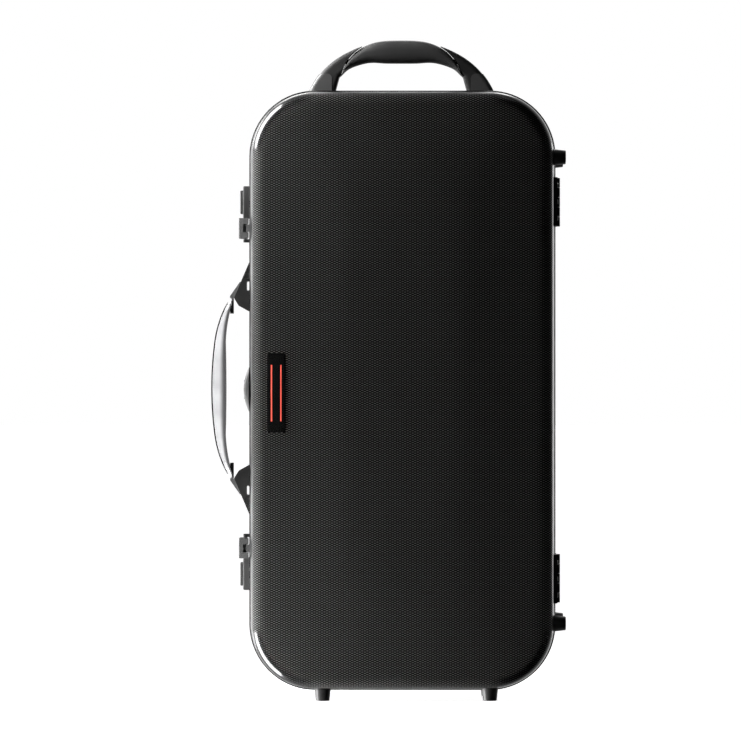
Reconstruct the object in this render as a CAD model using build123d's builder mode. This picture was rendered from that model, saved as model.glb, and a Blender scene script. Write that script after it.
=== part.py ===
# Bassoon case: two moulded half shells on side hinges, standing on its end feet.
# +Z up along the case, +X towards the hinge side, -Y towards the lid's face.
# The origin is on the floor, under the middle of the whole case.
import os
from math import atan, cos, radians, sin, tan

from build123d import *

# Overall sizes, in millimetres. Width and height are taken over the rim.
case_width = 327.0
case_height = 640.0
case_corner = 70.0
lid_depth = 56.0
base_depth = 92.0

# Shells
wall = 3.0
draft_angle = 4.5
edge_radius = 14.0
crown_rise = 5.0
crown_inset = 101.0
crown_corner = 10.0
lid_skirt = 10.0
base_skirt = 38.0

# Rim profiles, their seam and the rubber seal
rim_proud = 1.2
rim_height = 9.0
rim_bridge = 2.0
rim_inner = 2.0
seam_gap = 0.4
tongue_thick = 1.2
tongue_height = 3.0
seal_height = 3.0
seal_thick = 2.0

# Fits
fit_gap = 0.3
running_gap = 0.05

# Feet and their screws
foot_height = 11.5
foot_base_radius = 8.6
foot_tip_radius = 7.3
foot_edge = 1.0
foot_sink_radius = 3.4
foot_sink_depth = 3.0
foot_screw_radius = 1.5
foot_screw_in = 7.0
foot_head_radius = 3.0
foot_head_height = 1.8
end_foot_places = (-85.0, 93.0)
side_foot_place = 248.0
lid_foot_depth = 28.0
base_foot_depth = 58.0

# Height of the handle and the latches above the case's middle, and their place behind the rim
hardware_rise = 2.2
hardware_width = 24.0
hardware_start = 11.0

# Side handle brackets, as distances out from the wall and up from the handle's middle
bracket_top = 139.0
bracket_reach = 18.1
bracket_knee = 96.5
bracket_chin_out = 13.0
bracket_chin = 88.3
bracket_heel = 81.1
bracket_web = 2.0
bracket_band = 1.3
bracket_round = 2.5
bracket_slot_length = 10.0
bracket_slot_width = 3.0
bracket_slot_out = 3.0
bracket_slot_height = 109.6
bracket_pin_out = 3.4
bracket_pin_height = 120.3
bracket_pin_radius = 1.8
bracket_head_radius = 2.8
bracket_head_height = 0.8

# Side handle: lugs and pins on the brackets, strap and grip between them
lug_width = 12.0
lug_reach = 22.4
lug_square = 2.0
lug_tip = 114.0
lug_tip_out = 11.8
lug_root_out = 8.0
swing_out = 20.4
swing_pin_radius = 1.1
swing_pin_in_lug = 2.6
swing_pin_in_grip = 6.0
strap_thick = 1.4
strap_reach = 42.4
strap_end_out = 22.6
strap_middle_half = 50.0
strap_middle_drop = 3.3
strap_width = 25.0
strap_half = 91.9
grip_middle_out = 26.6
grip_waist_out = 27.3
grip_waist_half = 50.0
grip_bend_out = 24.4
grip_bend_half = 75.0
grip_end_out = 18.6
grip_neck_radius = 2.0
grip_neck_start = 80.0

# Top handle, as half lengths along the case's top and heights above the rim
top_handle_shift = -1.0
top_handle_width = 26.0
top_handle_half = 98.8
top_handle_height = 55.8
top_bend_half = 64.0
top_bend_height = 38.5
top_leg_half = 70.5
top_shin_half = 66.2
top_shin_height = 15.5
top_knee_half = 54.5
top_knee_height = 25.2
top_under_half = 35.0
top_under_height = 31.0
top_waist_height = 30.4
top_root = 20.0
top_edge = 5.0
spine_width = 14.0
spine_cover = 7.0
pad_width = 28.0
pad_foot_half = 65.0
pad_bend_half = 54.5
pad_bend_height = 38.5
pad_crest_half = 26.0
pad_crest_height = 54.0
pad_edge = 7.0
cover_width = 27.0
cover_inner_half = 74.5
cover_height = 19.0
cover_corner = 5.0
cover_proud = 0.5
cover_wall = 2.0
cover_sill = 6.0

# Hinges
hinge_near = 175.0
hinge_length = 52.0
hinge_barrel_radius = 2.4
hinge_pin_radius = 1.1
hinge_leaf_thick = 2.8
hinge_leaf_width = 26.0
hinge_knuckles = 5
hinge_knuckle_gap = 0.3
hinge_rivet_radius = 2.4
hinge_rivet_height = 0.9
hinge_rivets = 3

# Latches, upwards from the near end of each and outwards from the wall
latch_near = 156.2
latch_ear = 3.6
latch_plate_thick = 1.6
latch_width = 26.0
hasp_length = 21.4
hasp_thick = 1.8
hasp_top = 12.2
hasp_overhang = 15.5
hasp_axis_depth = 21.0
hasp_axis_out = 5.8
hasp_knuckle_radius = 2.4
hasp_pin_radius = 1.2
hasp_claw_low = 1.7
hasp_window_length = 9.2
hasp_window_top = 7.6
keeper_length = 18.0
keeper_flange = 1.2
keeper_top = 4.3
housing_length = 34.5
housing_top = 8.3
housing_wall = 1.6
thumb_length = 25.0
thumb_height = 2.8
thumb_width = 15.0
thumb_travel = 4.0
thumb_lead = 5.0
stem_length = 6.0
stem_width = 5.0
bolt_radius = 1.4
bolt_out = 4.4
bolt_shift = 5.0
hasp_rib_thick = 1.8
hasp_rib_depth = 13.0
hasp_rib_low = 2.4
bolt_tail = 6.0
spring_wire_radius = 0.35
spring_radius = 1.85
spring_turns = 7

# Centre lock: a round dome across the seam, hinged behind its middle
lock_rise = 0.8
lock_radius = 23.6
lock_low = 1.5
lock_edge = 0.4
lock_top = 7.5
lock_centre_depth = 6.0
lock_axis_depth = 12.0
lock_axis_out = 5.6
lock_barrel_radius = 1.6
lock_pin_radius = 0.7
lock_barrel_half = 10.0
lock_knuckle_half = 4.0
lock_flap_gap = 0.2
lock_plate_gap = 1.0
lock_cylinder_radius = 6.0
lock_cylinder_depth = -3.0
lock_cylinder_low = 2.2
key_slot_length = 7.0
key_slot_width = 1.2
key_slot_depth = 3.0
strike_length = 16.0
strike_width = 6.0
strike_thick = 1.1

# Badge plate on the lid
badge_width = 19.6
badge_length = 84.2
badge_thick = 1.6
badge_from_edge = 28.3
badge_rise = -2.9
badge_corner = 1.5
badge_bed = 1.0

# Foam fittings. Each pocket: centre across, width, centre up, length, depth.
foam_pocket_corner = 14.0
lid_foam_side = 14.0
lid_foam_floor = 12.0
pockets = {
    "bell": (-112.0, 68.0, 88.0, 350.0, 62.0),
    "accessories": (-112.0, 68.0, -186.0, 166.0, 62.0),
    "long joint": (-44.0, 48.0, 0.0, 612.0, 58.0),
    "wing joint": (19.0, 58.0, -48.0, 516.0, 58.0),
    "boot joint": (102.0, 88.0, -54.0, 452.0, 72.0),
    "reeds": (102.0, 88.0, 230.0, 84.0, 62.0),
}
crook_block_width = 64.0
crook_block_length = 350.0
crook_block_height = 22.0
crook_block_corner = 8.0
crook_groove_radius = 7.0
crook_groove_spacing = 28.0
crook_groove_margin = 12.0

# Corners of a side handle bracket, as distances out and up
bracket_corners = (
    (0, bracket_top),
    (bracket_reach, bracket_knee),
    (bracket_chin_out, bracket_chin),
    (0, bracket_heel),
)

# Places along and across a latch, worked out from its sizes
latch_start = seam_gap + rim_height + fit_gap
hasp_start = latch_near + latch_ear + fit_gap
hasp_end = hasp_start + hasp_length
housing_start = hasp_end + fit_gap
housing_end = housing_start + housing_length
stem_start = housing_start + thumb_lead + (thumb_length - stem_length) / 2
stem_end = stem_start + stem_length

# Places of the whole case, worked out from the sizes above
shell_width = case_width - 2 * rim_proud
shell_height = case_height - 2 * rim_proud
shell_corner = case_corner - rim_proud
strap_out = strap_reach - rim_proud
side_foot_out = foot_height - rim_proud
body_x = (strap_out - side_foot_out) / 2
seam_y = lid_depth - (lid_depth + base_depth) / 2
mid_z = foot_height + shell_height / 2
side_z = mid_z + hardware_rise
shell_left = body_x - shell_width / 2
shell_right = body_x + shell_width / 2
shell_bottom = mid_z - shell_height / 2
shell_top = mid_z + shell_height / 2
rim_end = seam_gap + rim_height
foam_inset = wall + fit_gap
lid_foam_start = tongue_height + seal_height + 2 * fit_gap
lid_foam_top = lid_depth - foam_inset - lid_foam_floor
hardware_y = seam_y + hardware_start + hardware_width / 2
latch_y = seam_y + latch_start + latch_width / 2
bolt_y = latch_y - bolt_shift
hinge_out = rim_proud + fit_gap + hinge_barrel_radius
lock_z = mid_z + lock_rise
lid, base = 1, -1
upper, lower = 1, -1


def depth_plane(half, depth):
    """Plane across the case, at a depth from the seam into the lid or into the base."""
    return Plane(
        origin=(body_x, seam_y - half * depth, mid_z), x_dir=(1, 0, 0), z_dir=(0, -1, 0)
    )


def profile_plane(y):
    """Upright plane whose sketch runs along X and Z."""
    return Plane.XZ.offset(-y)


def into(half, near, far):
    """Y range between two depths from the seam, into the lid or into the base."""
    return tuple(sorted((seam_y - half * near, seam_y - half * far)))


def up(side, near, far, middle=side_z):
    """Z range between two distances from a middle height, above it or below it."""
    return tuple(sorted((middle + side * near, middle + side * far)))


def out_left(low, high):
    """X range between two distances out from the shell's left wall."""
    return (shell_left - high, shell_left - low)


def out_right(low, high):
    """X range between two distances out from the shell's right wall."""
    return (shell_right + low, shell_right + high)


def span_box(xs, ys, zs, mode=Mode.ADD):
    """Box between two values along each axis."""
    with Locations(((xs[0] + xs[1]) / 2, (ys[0] + ys[1]) / 2, (zs[0] + zs[1]) / 2)):
        Box(xs[1] - xs[0], ys[1] - ys[0], zs[1] - zs[0], mode=mode)


def rod_z(x, y, zs, radius, mode=Mode.ADD):
    """Round rod along Z between two heights."""
    with Locations((x, y, (zs[0] + zs[1]) / 2)):
        Cylinder(radius, zs[1] - zs[0], mode=mode)


def rod_x(xs, y, z, radius, mode=Mode.ADD):
    """Round rod along X between two places."""
    with Locations(((xs[0] + xs[1]) / 2, y, z)):
        Cylinder(radius, xs[1] - xs[0], rotation=(0, 90, 0), mode=mode)


def left_point(out, height, side=upper):
    """Sketch point on the left side: out from the wall, and up or down from the handle's middle."""
    return (shell_left - out, side_z + side * height)


def outline(inset, mode=Mode.ADD):
    """Rounded outline of the shell, moved inwards by inset."""
    RectangleRounded(
        shell_width - 2 * inset, shell_height - 2 * inset, shell_corner - inset, mode=mode
    )


def tub_form(half, inset, start, skirt, depth, shoulder):
    """Solid that fills one half: straight skirt, drafted walls, rounded shoulder and hipped face."""
    shoulder_depth = depth - crown_rise
    taper = (shoulder_depth - skirt) * tan(radians(draft_angle))
    shoulder_y = seam_y - half * shoulder_depth
    panel_inset = crown_inset + inset
    with BuildPart() as form:
        with BuildSketch(depth_plane(half, start)):
            outline(inset)
        extrude(amount=half * (skirt - start))
        with BuildSketch(depth_plane(half, skirt)):
            outline(inset)
        with BuildSketch(depth_plane(half, shoulder_depth)):
            outline(inset + taper)
        loft(ruled=True)
        with BuildSketch(depth_plane(half, shoulder_depth)):
            outline(inset + taper)
        with BuildSketch(depth_plane(half, depth)):
            RectangleRounded(
                shell_width - 2 * panel_inset, shell_height - 2 * panel_inset, crown_corner
            )
        loft(ruled=True)
        fillet(
            form.edges().filter_by_position(Axis.Y, shoulder_y - 0.01, shoulder_y + 0.01),
            shoulder,
        )
    return form.part


def rim_band(half, near, far, inner, outer):
    """Ring round the case between two insets from the shell's surface and two depths."""
    with BuildPart() as band:
        with BuildSketch(depth_plane(half, near)):
            outline(outer)
            outline(inner, mode=Mode.SUBTRACT)
        extrude(amount=half * (far - near))
    return band.part


skirts = {lid: lid_skirt, base: base_skirt}
depths = {lid: lid_depth, base: base_depth}
foot_depths = {lid: lid_foot_depth, base: base_foot_depth}
half_names = {lid: "lid", base: "base"}
side_names = {upper: "upper", lower: "lower"}
shell_start = seam_gap + rim_bridge
outer_forms = {
    half: tub_form(half, 0, 0, skirts[half], depths[half], edge_radius) for half in (lid, base)
}


def foot_spots(half):
    """Place and outward direction of the four feet of one half: two below, two on the hinge side."""
    y = seam_y - half * foot_depths[half]
    spots = {}
    for name, x in zip(("left", "right"), end_foot_places):
        spots[f"{name}_end"] = ((body_x + x, y, shell_bottom), (0, 0, -1))
    for side, name in side_names.items():
        place = (shell_right, y, mid_z + side * side_foot_place)
        spots[f"{name}_side"] = (place, (1, 0, 0))
    return spots


def foot_screw(place, direction, gap=0.0):
    """Screw shaft from the recess in a foot through the shell, or the hole with a gap round it."""
    seat = foot_height - foot_sink_depth
    with BuildPart() as shaft:
        with BuildSketch(Plane(origin=place, z_dir=direction).offset(seat)):
            Circle(foot_screw_radius + gap)
        extrude(amount=-(seat + foot_screw_in + gap))
    return shaft.part


def cut_screw_holes(half, gap):
    """Cut the holes for one half's foot screws out of the piece being built."""
    for place, direction in foot_spots(half).values():
        add(foot_screw(place, direction, gap), mode=Mode.SUBTRACT)


def shell(half):
    """Moulded half shell with holes for the foot screws."""
    depth = depths[half]
    with BuildPart() as shell_piece:
        add(tub_form(half, 0, shell_start, skirts[half], depth, edge_radius))
        add(
            tub_form(half, wall, shell_start, skirts[half], depth - wall, edge_radius - wall),
            mode=Mode.SUBTRACT,
        )
        cut_screw_holes(half, running_gap)
    return shell_piece


def base_rim():
    """Rim profile of the base: lip, bridge over the shell's edge, and the tongue into the lid."""
    with BuildPart() as rim:
        add(rim_band(base, seam_gap, rim_end, 0, -rim_proud))
        add(rim_band(base, seam_gap, shell_start, wall + rim_inner, -rim_proud))
        tongue_inset = wall + rim_inner - tongue_thick
        add(rim_band(lid, -shell_start, tongue_height, wall + rim_inner, tongue_inset))
    return rim


def lid_rim():
    """Rim profile of the lid: lip and bridge over the shell's edge."""
    with BuildPart() as rim:
        add(rim_band(lid, seam_gap, rim_end, 0, -rim_proud))
        add(rim_band(lid, seam_gap, shell_start, wall, -rim_proud))
    return rim


def rim_seal():
    """Rubber seal round the inside of the lid, which the base's tongue meets."""
    start = tongue_height + fit_gap
    with BuildPart() as seal:
        add(rim_band(lid, start, start + seal_height, wall + seal_thick, wall))
    return seal


def base_foam():
    """Fitted foam of the base with a pocket for each joint of the instrument."""
    start = shell_start + fit_gap
    bottom = base_depth - foam_inset
    with BuildPart() as foam:
        add(tub_form(base, foam_inset, start, base_skirt, bottom, edge_radius - foam_inset))
        for across, width, middle, length, depth in pockets.values():
            pocket_plane = depth_plane(base, start)
            with BuildSketch(pocket_plane):
                with Locations((across, middle)):
                    RectangleRounded(width, length, foam_pocket_corner)
            extrude(amount=base * depth, mode=Mode.SUBTRACT)
        cut_screw_holes(base, fit_gap)
    return foam


def lid_foam_form():
    """Solid that fills the lid's shell below the seal."""
    bottom = lid_depth - foam_inset
    return tub_form(
        lid, foam_inset, lid_foam_start, lid_skirt, bottom, edge_radius - foam_inset
    )


def lid_slab(near, far):
    """Solid inside the shell's outline, between two depths of the lid."""
    with BuildPart() as slab:
        with BuildSketch(depth_plane(lid, near)):
            outline(0)
        extrude(amount=far - near)
    return slab.part


def lid_foam():
    """Foam on the floor of the lid."""
    with BuildPart() as foam:
        add(lid_foam_form())
        add(lid_slab(lid_foam_start, lid_foam_top), mode=Mode.SUBTRACT)
    return foam


def lid_foam_band():
    """Foam strips round the side of the lid: two long ones, and two short ones between them."""
    inner = foam_inset + lid_foam_side
    space_width = shell_width - 2 * inner
    with BuildPart() as foam:
        add(lid_foam_form())
        add(lid_slab(lid_foam_top, lid_depth), mode=Mode.SUBTRACT)
        with BuildSketch(depth_plane(lid, lid_foam_start)):
            Rectangle(space_width, shell_height - 2 * inner)
            for side in (-1, 1):
                with Locations((side * space_width / 2, 0)):
                    Rectangle(fit_gap, shell_height)
        extrude(amount=lid_foam_top - lid_foam_start, mode=Mode.SUBTRACT)
        cut_screw_holes(lid, fit_gap)
    return foam


def crook_block():
    """Foam block in the lid with two grooves that hold the spare crooks."""
    top = lid_foam_top - crook_block_height
    groove_length = crook_block_length - 2 * crook_groove_margin
    with BuildPart() as block:
        with BuildSketch(depth_plane(lid, top)):
            RectangleRounded(crook_block_width, crook_block_length, crook_block_corner)
        extrude(amount=crook_block_height)
        for side in (-1, 1):
            x = body_x + side * crook_groove_spacing / 2
            zs = (mid_z - groove_length / 2, mid_z + groove_length / 2)
            rod_z(x, seam_y - top, zs, crook_groove_radius, mode=Mode.SUBTRACT)
    return block


def foot(half, place, direction):
    """Tapered rubber foot, seated on the shell, with a recess for its screw."""
    plane = Plane(origin=place, z_dir=direction)
    with BuildPart() as piece:
        with BuildSketch(plane.offset(-foot_height)):
            Circle(foot_base_radius)
        extrude(amount=foot_height)
        with BuildSketch(plane):
            Circle(foot_base_radius)
        with BuildSketch(plane.offset(foot_height)):
            Circle(foot_tip_radius)
        loft()
        tip = piece.faces().sort_by(Axis(place, direction))[-1]
        fillet(tip.edges(), foot_edge)
        with BuildSketch(plane.offset(foot_height)):
            Circle(foot_sink_radius)
        extrude(amount=-foot_sink_depth, mode=Mode.SUBTRACT)
        cut_screw_holes(half, running_gap)
        add(outer_forms[half], mode=Mode.SUBTRACT)
    return piece


def foot_screws(half):
    """Pan-head screws of the four feet of one half."""
    with BuildPart() as screws:
        for place, direction in foot_spots(half).values():
            add(foot_screw(place, direction))
            seat = foot_height - foot_sink_depth
            with BuildSketch(Plane(origin=place, z_dir=direction).offset(seat)):
                Circle(foot_head_radius)
            extrude(amount=foot_head_height)
    return screws


def left_face(corners, side):
    """Face in the current sketch through corners given as distances out and up."""
    Polygon(*[left_point(out, height, side) for out, height in corners], align=None)


def bracket_form(side):
    """Solid wedge with the outline of a bracket."""
    with BuildPart() as form:
        with BuildSketch(profile_plane(hardware_y)) as wedge:
            left_face(bracket_corners, side)
            fillet(wedge.vertices().sort_by(Axis.X)[:2], bracket_round)
        extrude(amount=hardware_width / 2, both=True)
    return form.part


def handle_bracket(side):
    """Moulded bracket of the side handle: two webs and a band round them, seated on the wall."""
    with BuildPart() as bracket:
        add(bracket_form(side))
        with BuildSketch(profile_plane(hardware_y)):
            left_face(bracket_corners, side)
            offset(amount=-bracket_band, kind=Kind.INTERSECTION)
        extrude(amount=hardware_width / 2 - bracket_web, both=True, mode=Mode.SUBTRACT)
        with BuildSketch(profile_plane(hardware_y)):
            with Locations(left_point(bracket_slot_out, bracket_slot_height, side)):
                SlotOverall(bracket_slot_length, bracket_slot_width, rotation=90)
            with Locations(left_point(bracket_pin_out, bracket_pin_height, side)):
                Circle(bracket_pin_radius)
        extrude(amount=hardware_width, both=True, mode=Mode.SUBTRACT)
    return bracket


def bracket_pin(side):
    """Cross pin of a bracket, with a head on each web."""
    place = left_point(bracket_pin_out, bracket_pin_height, side)
    half_width = hardware_width / 2
    with BuildPart() as pin:
        with BuildSketch(profile_plane(hardware_y)):
            with Locations(place):
                Circle(bracket_pin_radius)
        extrude(amount=half_width, both=True)
        for y in (hardware_y - half_width, hardware_y + half_width + bracket_head_height):
            with BuildSketch(profile_plane(y)):
                with Locations(place):
                    Circle(bracket_head_radius)
            extrude(amount=bracket_head_height)
    return pin


def lug_face():
    """Height of the lug's flat end, just outside the knee of the bracket."""
    return bracket_knee + fit_gap


def handle_lug(side):
    """Metal lug on the bracket's slope, with a socket for the handle's pin."""
    corners = (
        (lug_root_out, lug_face()),
        (lug_reach, lug_face()),
        (lug_reach, lug_face() + lug_square),
        (lug_tip_out, lug_tip),
        (lug_root_out, lug_tip),
    )
    zs = up(side, lug_face(), lug_face() + swing_pin_in_lug)
    with BuildPart() as lug:
        with BuildSketch(profile_plane(hardware_y)):
            left_face(corners, side)
        extrude(amount=lug_width / 2, both=True)
        add(bracket_form(side), mode=Mode.SUBTRACT)
        rod_z(shell_left - swing_out, hardware_y, zs, swing_pin_radius, mode=Mode.SUBTRACT)
    return lug


def swing_pin(side):
    """Pin that the side handle swings on, held in the lug."""
    zs = up(side, lug_face() - fit_gap - swing_pin_in_grip, lug_face() + swing_pin_in_lug)
    with BuildPart() as pin:
        rod_z(shell_left - swing_out, hardware_y, zs, swing_pin_radius)
    return pin


def handle_end():
    """Distance from the handle's middle to the end face of its neck."""
    return lug_face() - fit_gap


def strap_form(inner_shift):
    """Solid between the handle's bowed outer curve, moved inwards, and the case's side."""
    with BuildPart() as form:
        with BuildSketch(profile_plane(hardware_y)):
            with BuildLine():
                reach = strap_reach - inner_shift
                middle = ThreePointArc(
                    left_point(reach - strap_middle_drop, strap_middle_half),
                    left_point(reach, 0),
                    left_point(reach - strap_middle_drop, strap_middle_half, lower),
                )
                low_end = TangentArc(
                    middle @ 1,
                    left_point(strap_end_out - inner_shift, handle_end(), lower),
                    tangent=middle % 1,
                )
                high_end = TangentArc(
                    middle @ 0,
                    left_point(strap_end_out - inner_shift, handle_end()),
                    tangent=-(middle % 0),
                )
                Polyline(
                    low_end @ 1,
                    left_point(0, handle_end(), lower),
                    left_point(0, handle_end()),
                    high_end @ 1,
                )
            make_face()
        extrude(amount=strap_width, both=True)
    return form.part


def slot_form(half_length, width):
    """Long slot-shaped block seen from the side, which bounds the strap and the grip."""
    plane = Plane(origin=(shell_left, hardware_y, side_z), x_dir=(0, 0, 1), z_dir=(-1, 0, 0))
    with BuildPart() as form:
        with BuildSketch(plane):
            SlotOverall(2 * half_length, width)
        extrude(amount=2 * strap_reach)
    return form.part


def handle_strap():
    """Thin outer strap of the side handle."""
    with BuildPart() as strap:
        add(strap_form(0))
        add(strap_form(strap_thick), mode=Mode.SUBTRACT)
        add(slot_form(strap_half, strap_width), mode=Mode.INTERSECT)
    return strap


def handle_grip():
    """Grip inside the strap, narrowing at each end to a round neck on the pin."""
    with BuildPart() as grip:
        with BuildSketch(profile_plane(hardware_y)):
            with BuildLine():
                waist = ThreePointArc(
                    left_point(grip_waist_out, grip_waist_half),
                    left_point(grip_middle_out, 0),
                    left_point(grip_waist_out, grip_waist_half, lower),
                )
                ends = []
                for side, start in ((upper, waist @ 0), (lower, waist @ 1)):
                    bend = left_point(grip_bend_out, grip_bend_half, side)
                    end = left_point(grip_end_out, handle_end(), side)
                    ends.append(ThreePointArc(start, bend, end))
                far = strap_reach * 2
                Polyline(
                    ends[0] @ 1,
                    left_point(far, handle_end()),
                    left_point(far, handle_end(), lower),
                    ends[1] @ 1,
                )
            make_face()
        extrude(amount=strap_width, both=True)
        add(strap_form(strap_thick), mode=Mode.INTERSECT)
        add(slot_form(strap_half, strap_width), mode=Mode.INTERSECT)
        x = shell_left - swing_out
        for side in (upper, lower):
            rod_z(x, hardware_y, up(side, grip_neck_start, handle_end()), grip_neck_radius)
        add(handle_strap().part, mode=Mode.SUBTRACT)
        for side in (upper, lower):
            zs = up(side, handle_end() - swing_pin_in_grip - fit_gap, handle_end() + fit_gap)
            rod_z(x, hardware_y, zs, swing_pin_radius + running_gap, mode=Mode.SUBTRACT)
    return grip


def top_point(across, height):
    """Sketch point of the top handle: along the case's top, and up from the rim."""
    return (body_x + top_handle_shift + across, shell_top + rim_proud + height)


def arch_form(width, edge, grow=0.0):
    """Whole arch of the top handle, with rounded edges and an outline that can be grown."""
    with BuildPart() as form:
        with BuildSketch(profile_plane(hardware_y)):
            with BuildLine():
                crest = ThreePointArc(
                    top_point(-top_bend_half, top_bend_height),
                    top_point(0, top_handle_height),
                    top_point(top_bend_half, top_bend_height),
                )
                right = TangentArc(crest @ 1, top_point(top_handle_half, 0), tangent=crest % 1)
                left = TangentArc(crest @ 0, top_point(-top_handle_half, 0), tangent=-(crest % 0))
                under = ThreePointArc(
                    top_point(-top_under_half, top_under_height),
                    top_point(0, top_waist_height),
                    top_point(top_under_half, top_under_height),
                )
                for side, start, foot_end in ((-1, under @ 0, left @ 1), (1, under @ 1, right @ 1)):
                    shin = top_point(side * top_shin_half, top_shin_height)
                    ThreePointArc(start, top_point(side * top_knee_half, top_knee_height), shin)
                    Polyline(
                        shin,
                        top_point(side * top_leg_half, 0),
                        top_point(side * top_leg_half, -top_root),
                        top_point(side * top_handle_half, -top_root),
                        foot_end,
                    )
            make_face()
            offset(amount=grow)
        extrude(amount=width / 2, both=True)
        if edge > 0:
            fillet(form.faces().sort_by(Axis.Y)[0].edges(), edge)
            fillet(form.faces().sort_by(Axis.Y)[-1].edges(), edge)
        add(outer_forms[base], mode=Mode.SUBTRACT)
    return form.part


def pad_region():
    """Solid that holds the part of the arch covered by the soft pad."""
    with BuildPart() as region:
        with BuildSketch(profile_plane(hardware_y)):
            with BuildLine():
                crest = Line(
                    top_point(-pad_crest_half, pad_crest_height),
                    top_point(pad_crest_half, pad_crest_height),
                )
                for side, start in ((-1, crest @ 0), (1, crest @ 1)):
                    foot_point = top_point(side * pad_foot_half, top_shin_height)
                    bend = top_point(side * pad_bend_half, pad_bend_height)
                    ThreePointArc(start, bend, foot_point)
                    Line(foot_point, top_point(side * pad_foot_half, 0))
                Line(top_point(-pad_foot_half, 0), top_point(pad_foot_half, 0))
            make_face()
            with Locations(top_point(0, pad_crest_height)):
                Rectangle(2 * pad_crest_half, top_handle_height / 2)
        extrude(amount=pad_width, both=True)
    return region.part


def cover_region(side, inset=0.0, height=cover_height):
    """Solid over one leg, out from the inner face of its end cover and up to a height."""
    inner_half = cover_inner_half + inset
    xs = sorted((side * inner_half, side * (top_handle_half + inner_half)))
    width = xs[1] - xs[0]
    with BuildPart() as region:
        with BuildSketch(profile_plane(hardware_y)):
            with Locations(top_point((xs[0] + xs[1]) / 2, height - width / 2)):
                RectangleRounded(width, width, cover_corner)
        extrude(amount=cover_width, both=True)
    return region.part


def cover_sill_form(side):
    """Sill at the foot of an end cover, which closes its wall between the bare leg and the core."""
    with BuildPart() as form:
        add(cover_region(side, height=cover_sill))
        add(cover_region(side, cover_wall, cover_sill), mode=Mode.SUBTRACT)
    return form.part


def handle_spine():
    """Core of the top handle's arch, which carries the pad and the covers."""
    with BuildPart() as spine:
        add(arch_form(spine_width, 0, -spine_cover))
        for side in (-1, 1):
            add(cover_sill_form(side), mode=Mode.SUBTRACT)
    return spine.part


def top_handle_frame():
    """Rigid arch of the top handle, cut back to its core under the pad and the covers."""
    with BuildPart() as frame:
        add(arch_form(top_handle_width, top_edge))
        add(pad_region(), mode=Mode.SUBTRACT)
        for side in (-1, 1):
            add(cover_region(side), mode=Mode.SUBTRACT)
        add(handle_spine())
    return frame


def top_handle_pad():
    """Soft pad round the middle of the top handle."""
    with BuildPart() as pad:
        add(arch_form(pad_width, pad_edge))
        add(pad_region(), mode=Mode.INTERSECT)
        add(handle_spine(), mode=Mode.SUBTRACT)
    return pad


def top_handle_cover(side):
    """End cover over one leg of the top handle."""
    with BuildPart() as cover:
        add(arch_form(cover_width, top_edge, cover_proud))
        add(cover_region(side), mode=Mode.INTERSECT)
        add(handle_spine(), mode=Mode.SUBTRACT)
    return cover


def hinge_leaf(half, side):
    """Hinge leaf on the shell, stepped over the rim, with every other knuckle of the barrel."""
    x = shell_right + hinge_out
    zs = up(side, hinge_near, hinge_near + hinge_length, mid_z)
    knuckle = hinge_length / hinge_knuckles
    first = 0 if half == base else 1
    seat = rim_end + fit_gap
    bridge = out_right(rim_proud + running_gap, hinge_leaf_thick)
    with BuildPart() as leaf:
        span_box(out_right(-wall, hinge_leaf_thick), into(half, seat, hinge_leaf_width), zs)
        add(outer_forms[half], mode=Mode.SUBTRACT)
        span_box(bridge, into(half, hinge_barrel_radius + fit_gap, seat), zs)
        for index in range(first, hinge_knuckles, 2):
            low = zs[0] + index * knuckle + hinge_knuckle_gap / 2
            high = low + knuckle - hinge_knuckle_gap
            span_box(bridge, into(half, 0, seat), (low, high))
            rod_z(x, seam_y, (low, high), hinge_barrel_radius)
        rod_z(x, seam_y, zs, hinge_pin_radius + running_gap, mode=Mode.SUBTRACT)
        for z in hinge_rivet_heights(side):
            y = seam_y - half * (seat + hinge_leaf_width) / 2
            shaft = out_right(-wall, hinge_leaf_thick)
            rod_x(shaft, y, z, hinge_rivet_radius / 2 + running_gap, mode=Mode.SUBTRACT)
    return leaf


def hinge_rivet_heights(side):
    """Heights of the rivets of one hinge, evenly spread along its leaf."""
    low = up(side, hinge_near, hinge_near + hinge_length, mid_z)[0]
    return [low + hinge_length * (index + 0.5) / hinge_rivets for index in range(hinge_rivets)]


def hinge_pin(side):
    """Pin through all knuckles of one hinge."""
    with BuildPart() as pin:
        zs = up(side, hinge_near, hinge_near + hinge_length, mid_z)
        rod_z(shell_right + hinge_out, seam_y, zs, hinge_pin_radius)
    return pin


def hinge_rivet_group(half):
    """Rivets that fasten both hinge leaves of one half to the shell."""
    y = seam_y - half * (rim_end + fit_gap + hinge_leaf_width) / 2
    head = out_right(hinge_leaf_thick, hinge_leaf_thick + hinge_rivet_height)
    with BuildPart() as rivets:
        for side in (upper, lower):
            for z in hinge_rivet_heights(side):
                rod_x(out_right(-wall, hinge_leaf_thick), y, z, hinge_rivet_radius / 2)
                rod_x(head, y, z, hinge_rivet_radius)
        add(outer_forms[half], mode=Mode.SUBTRACT)
    return rivets


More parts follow.
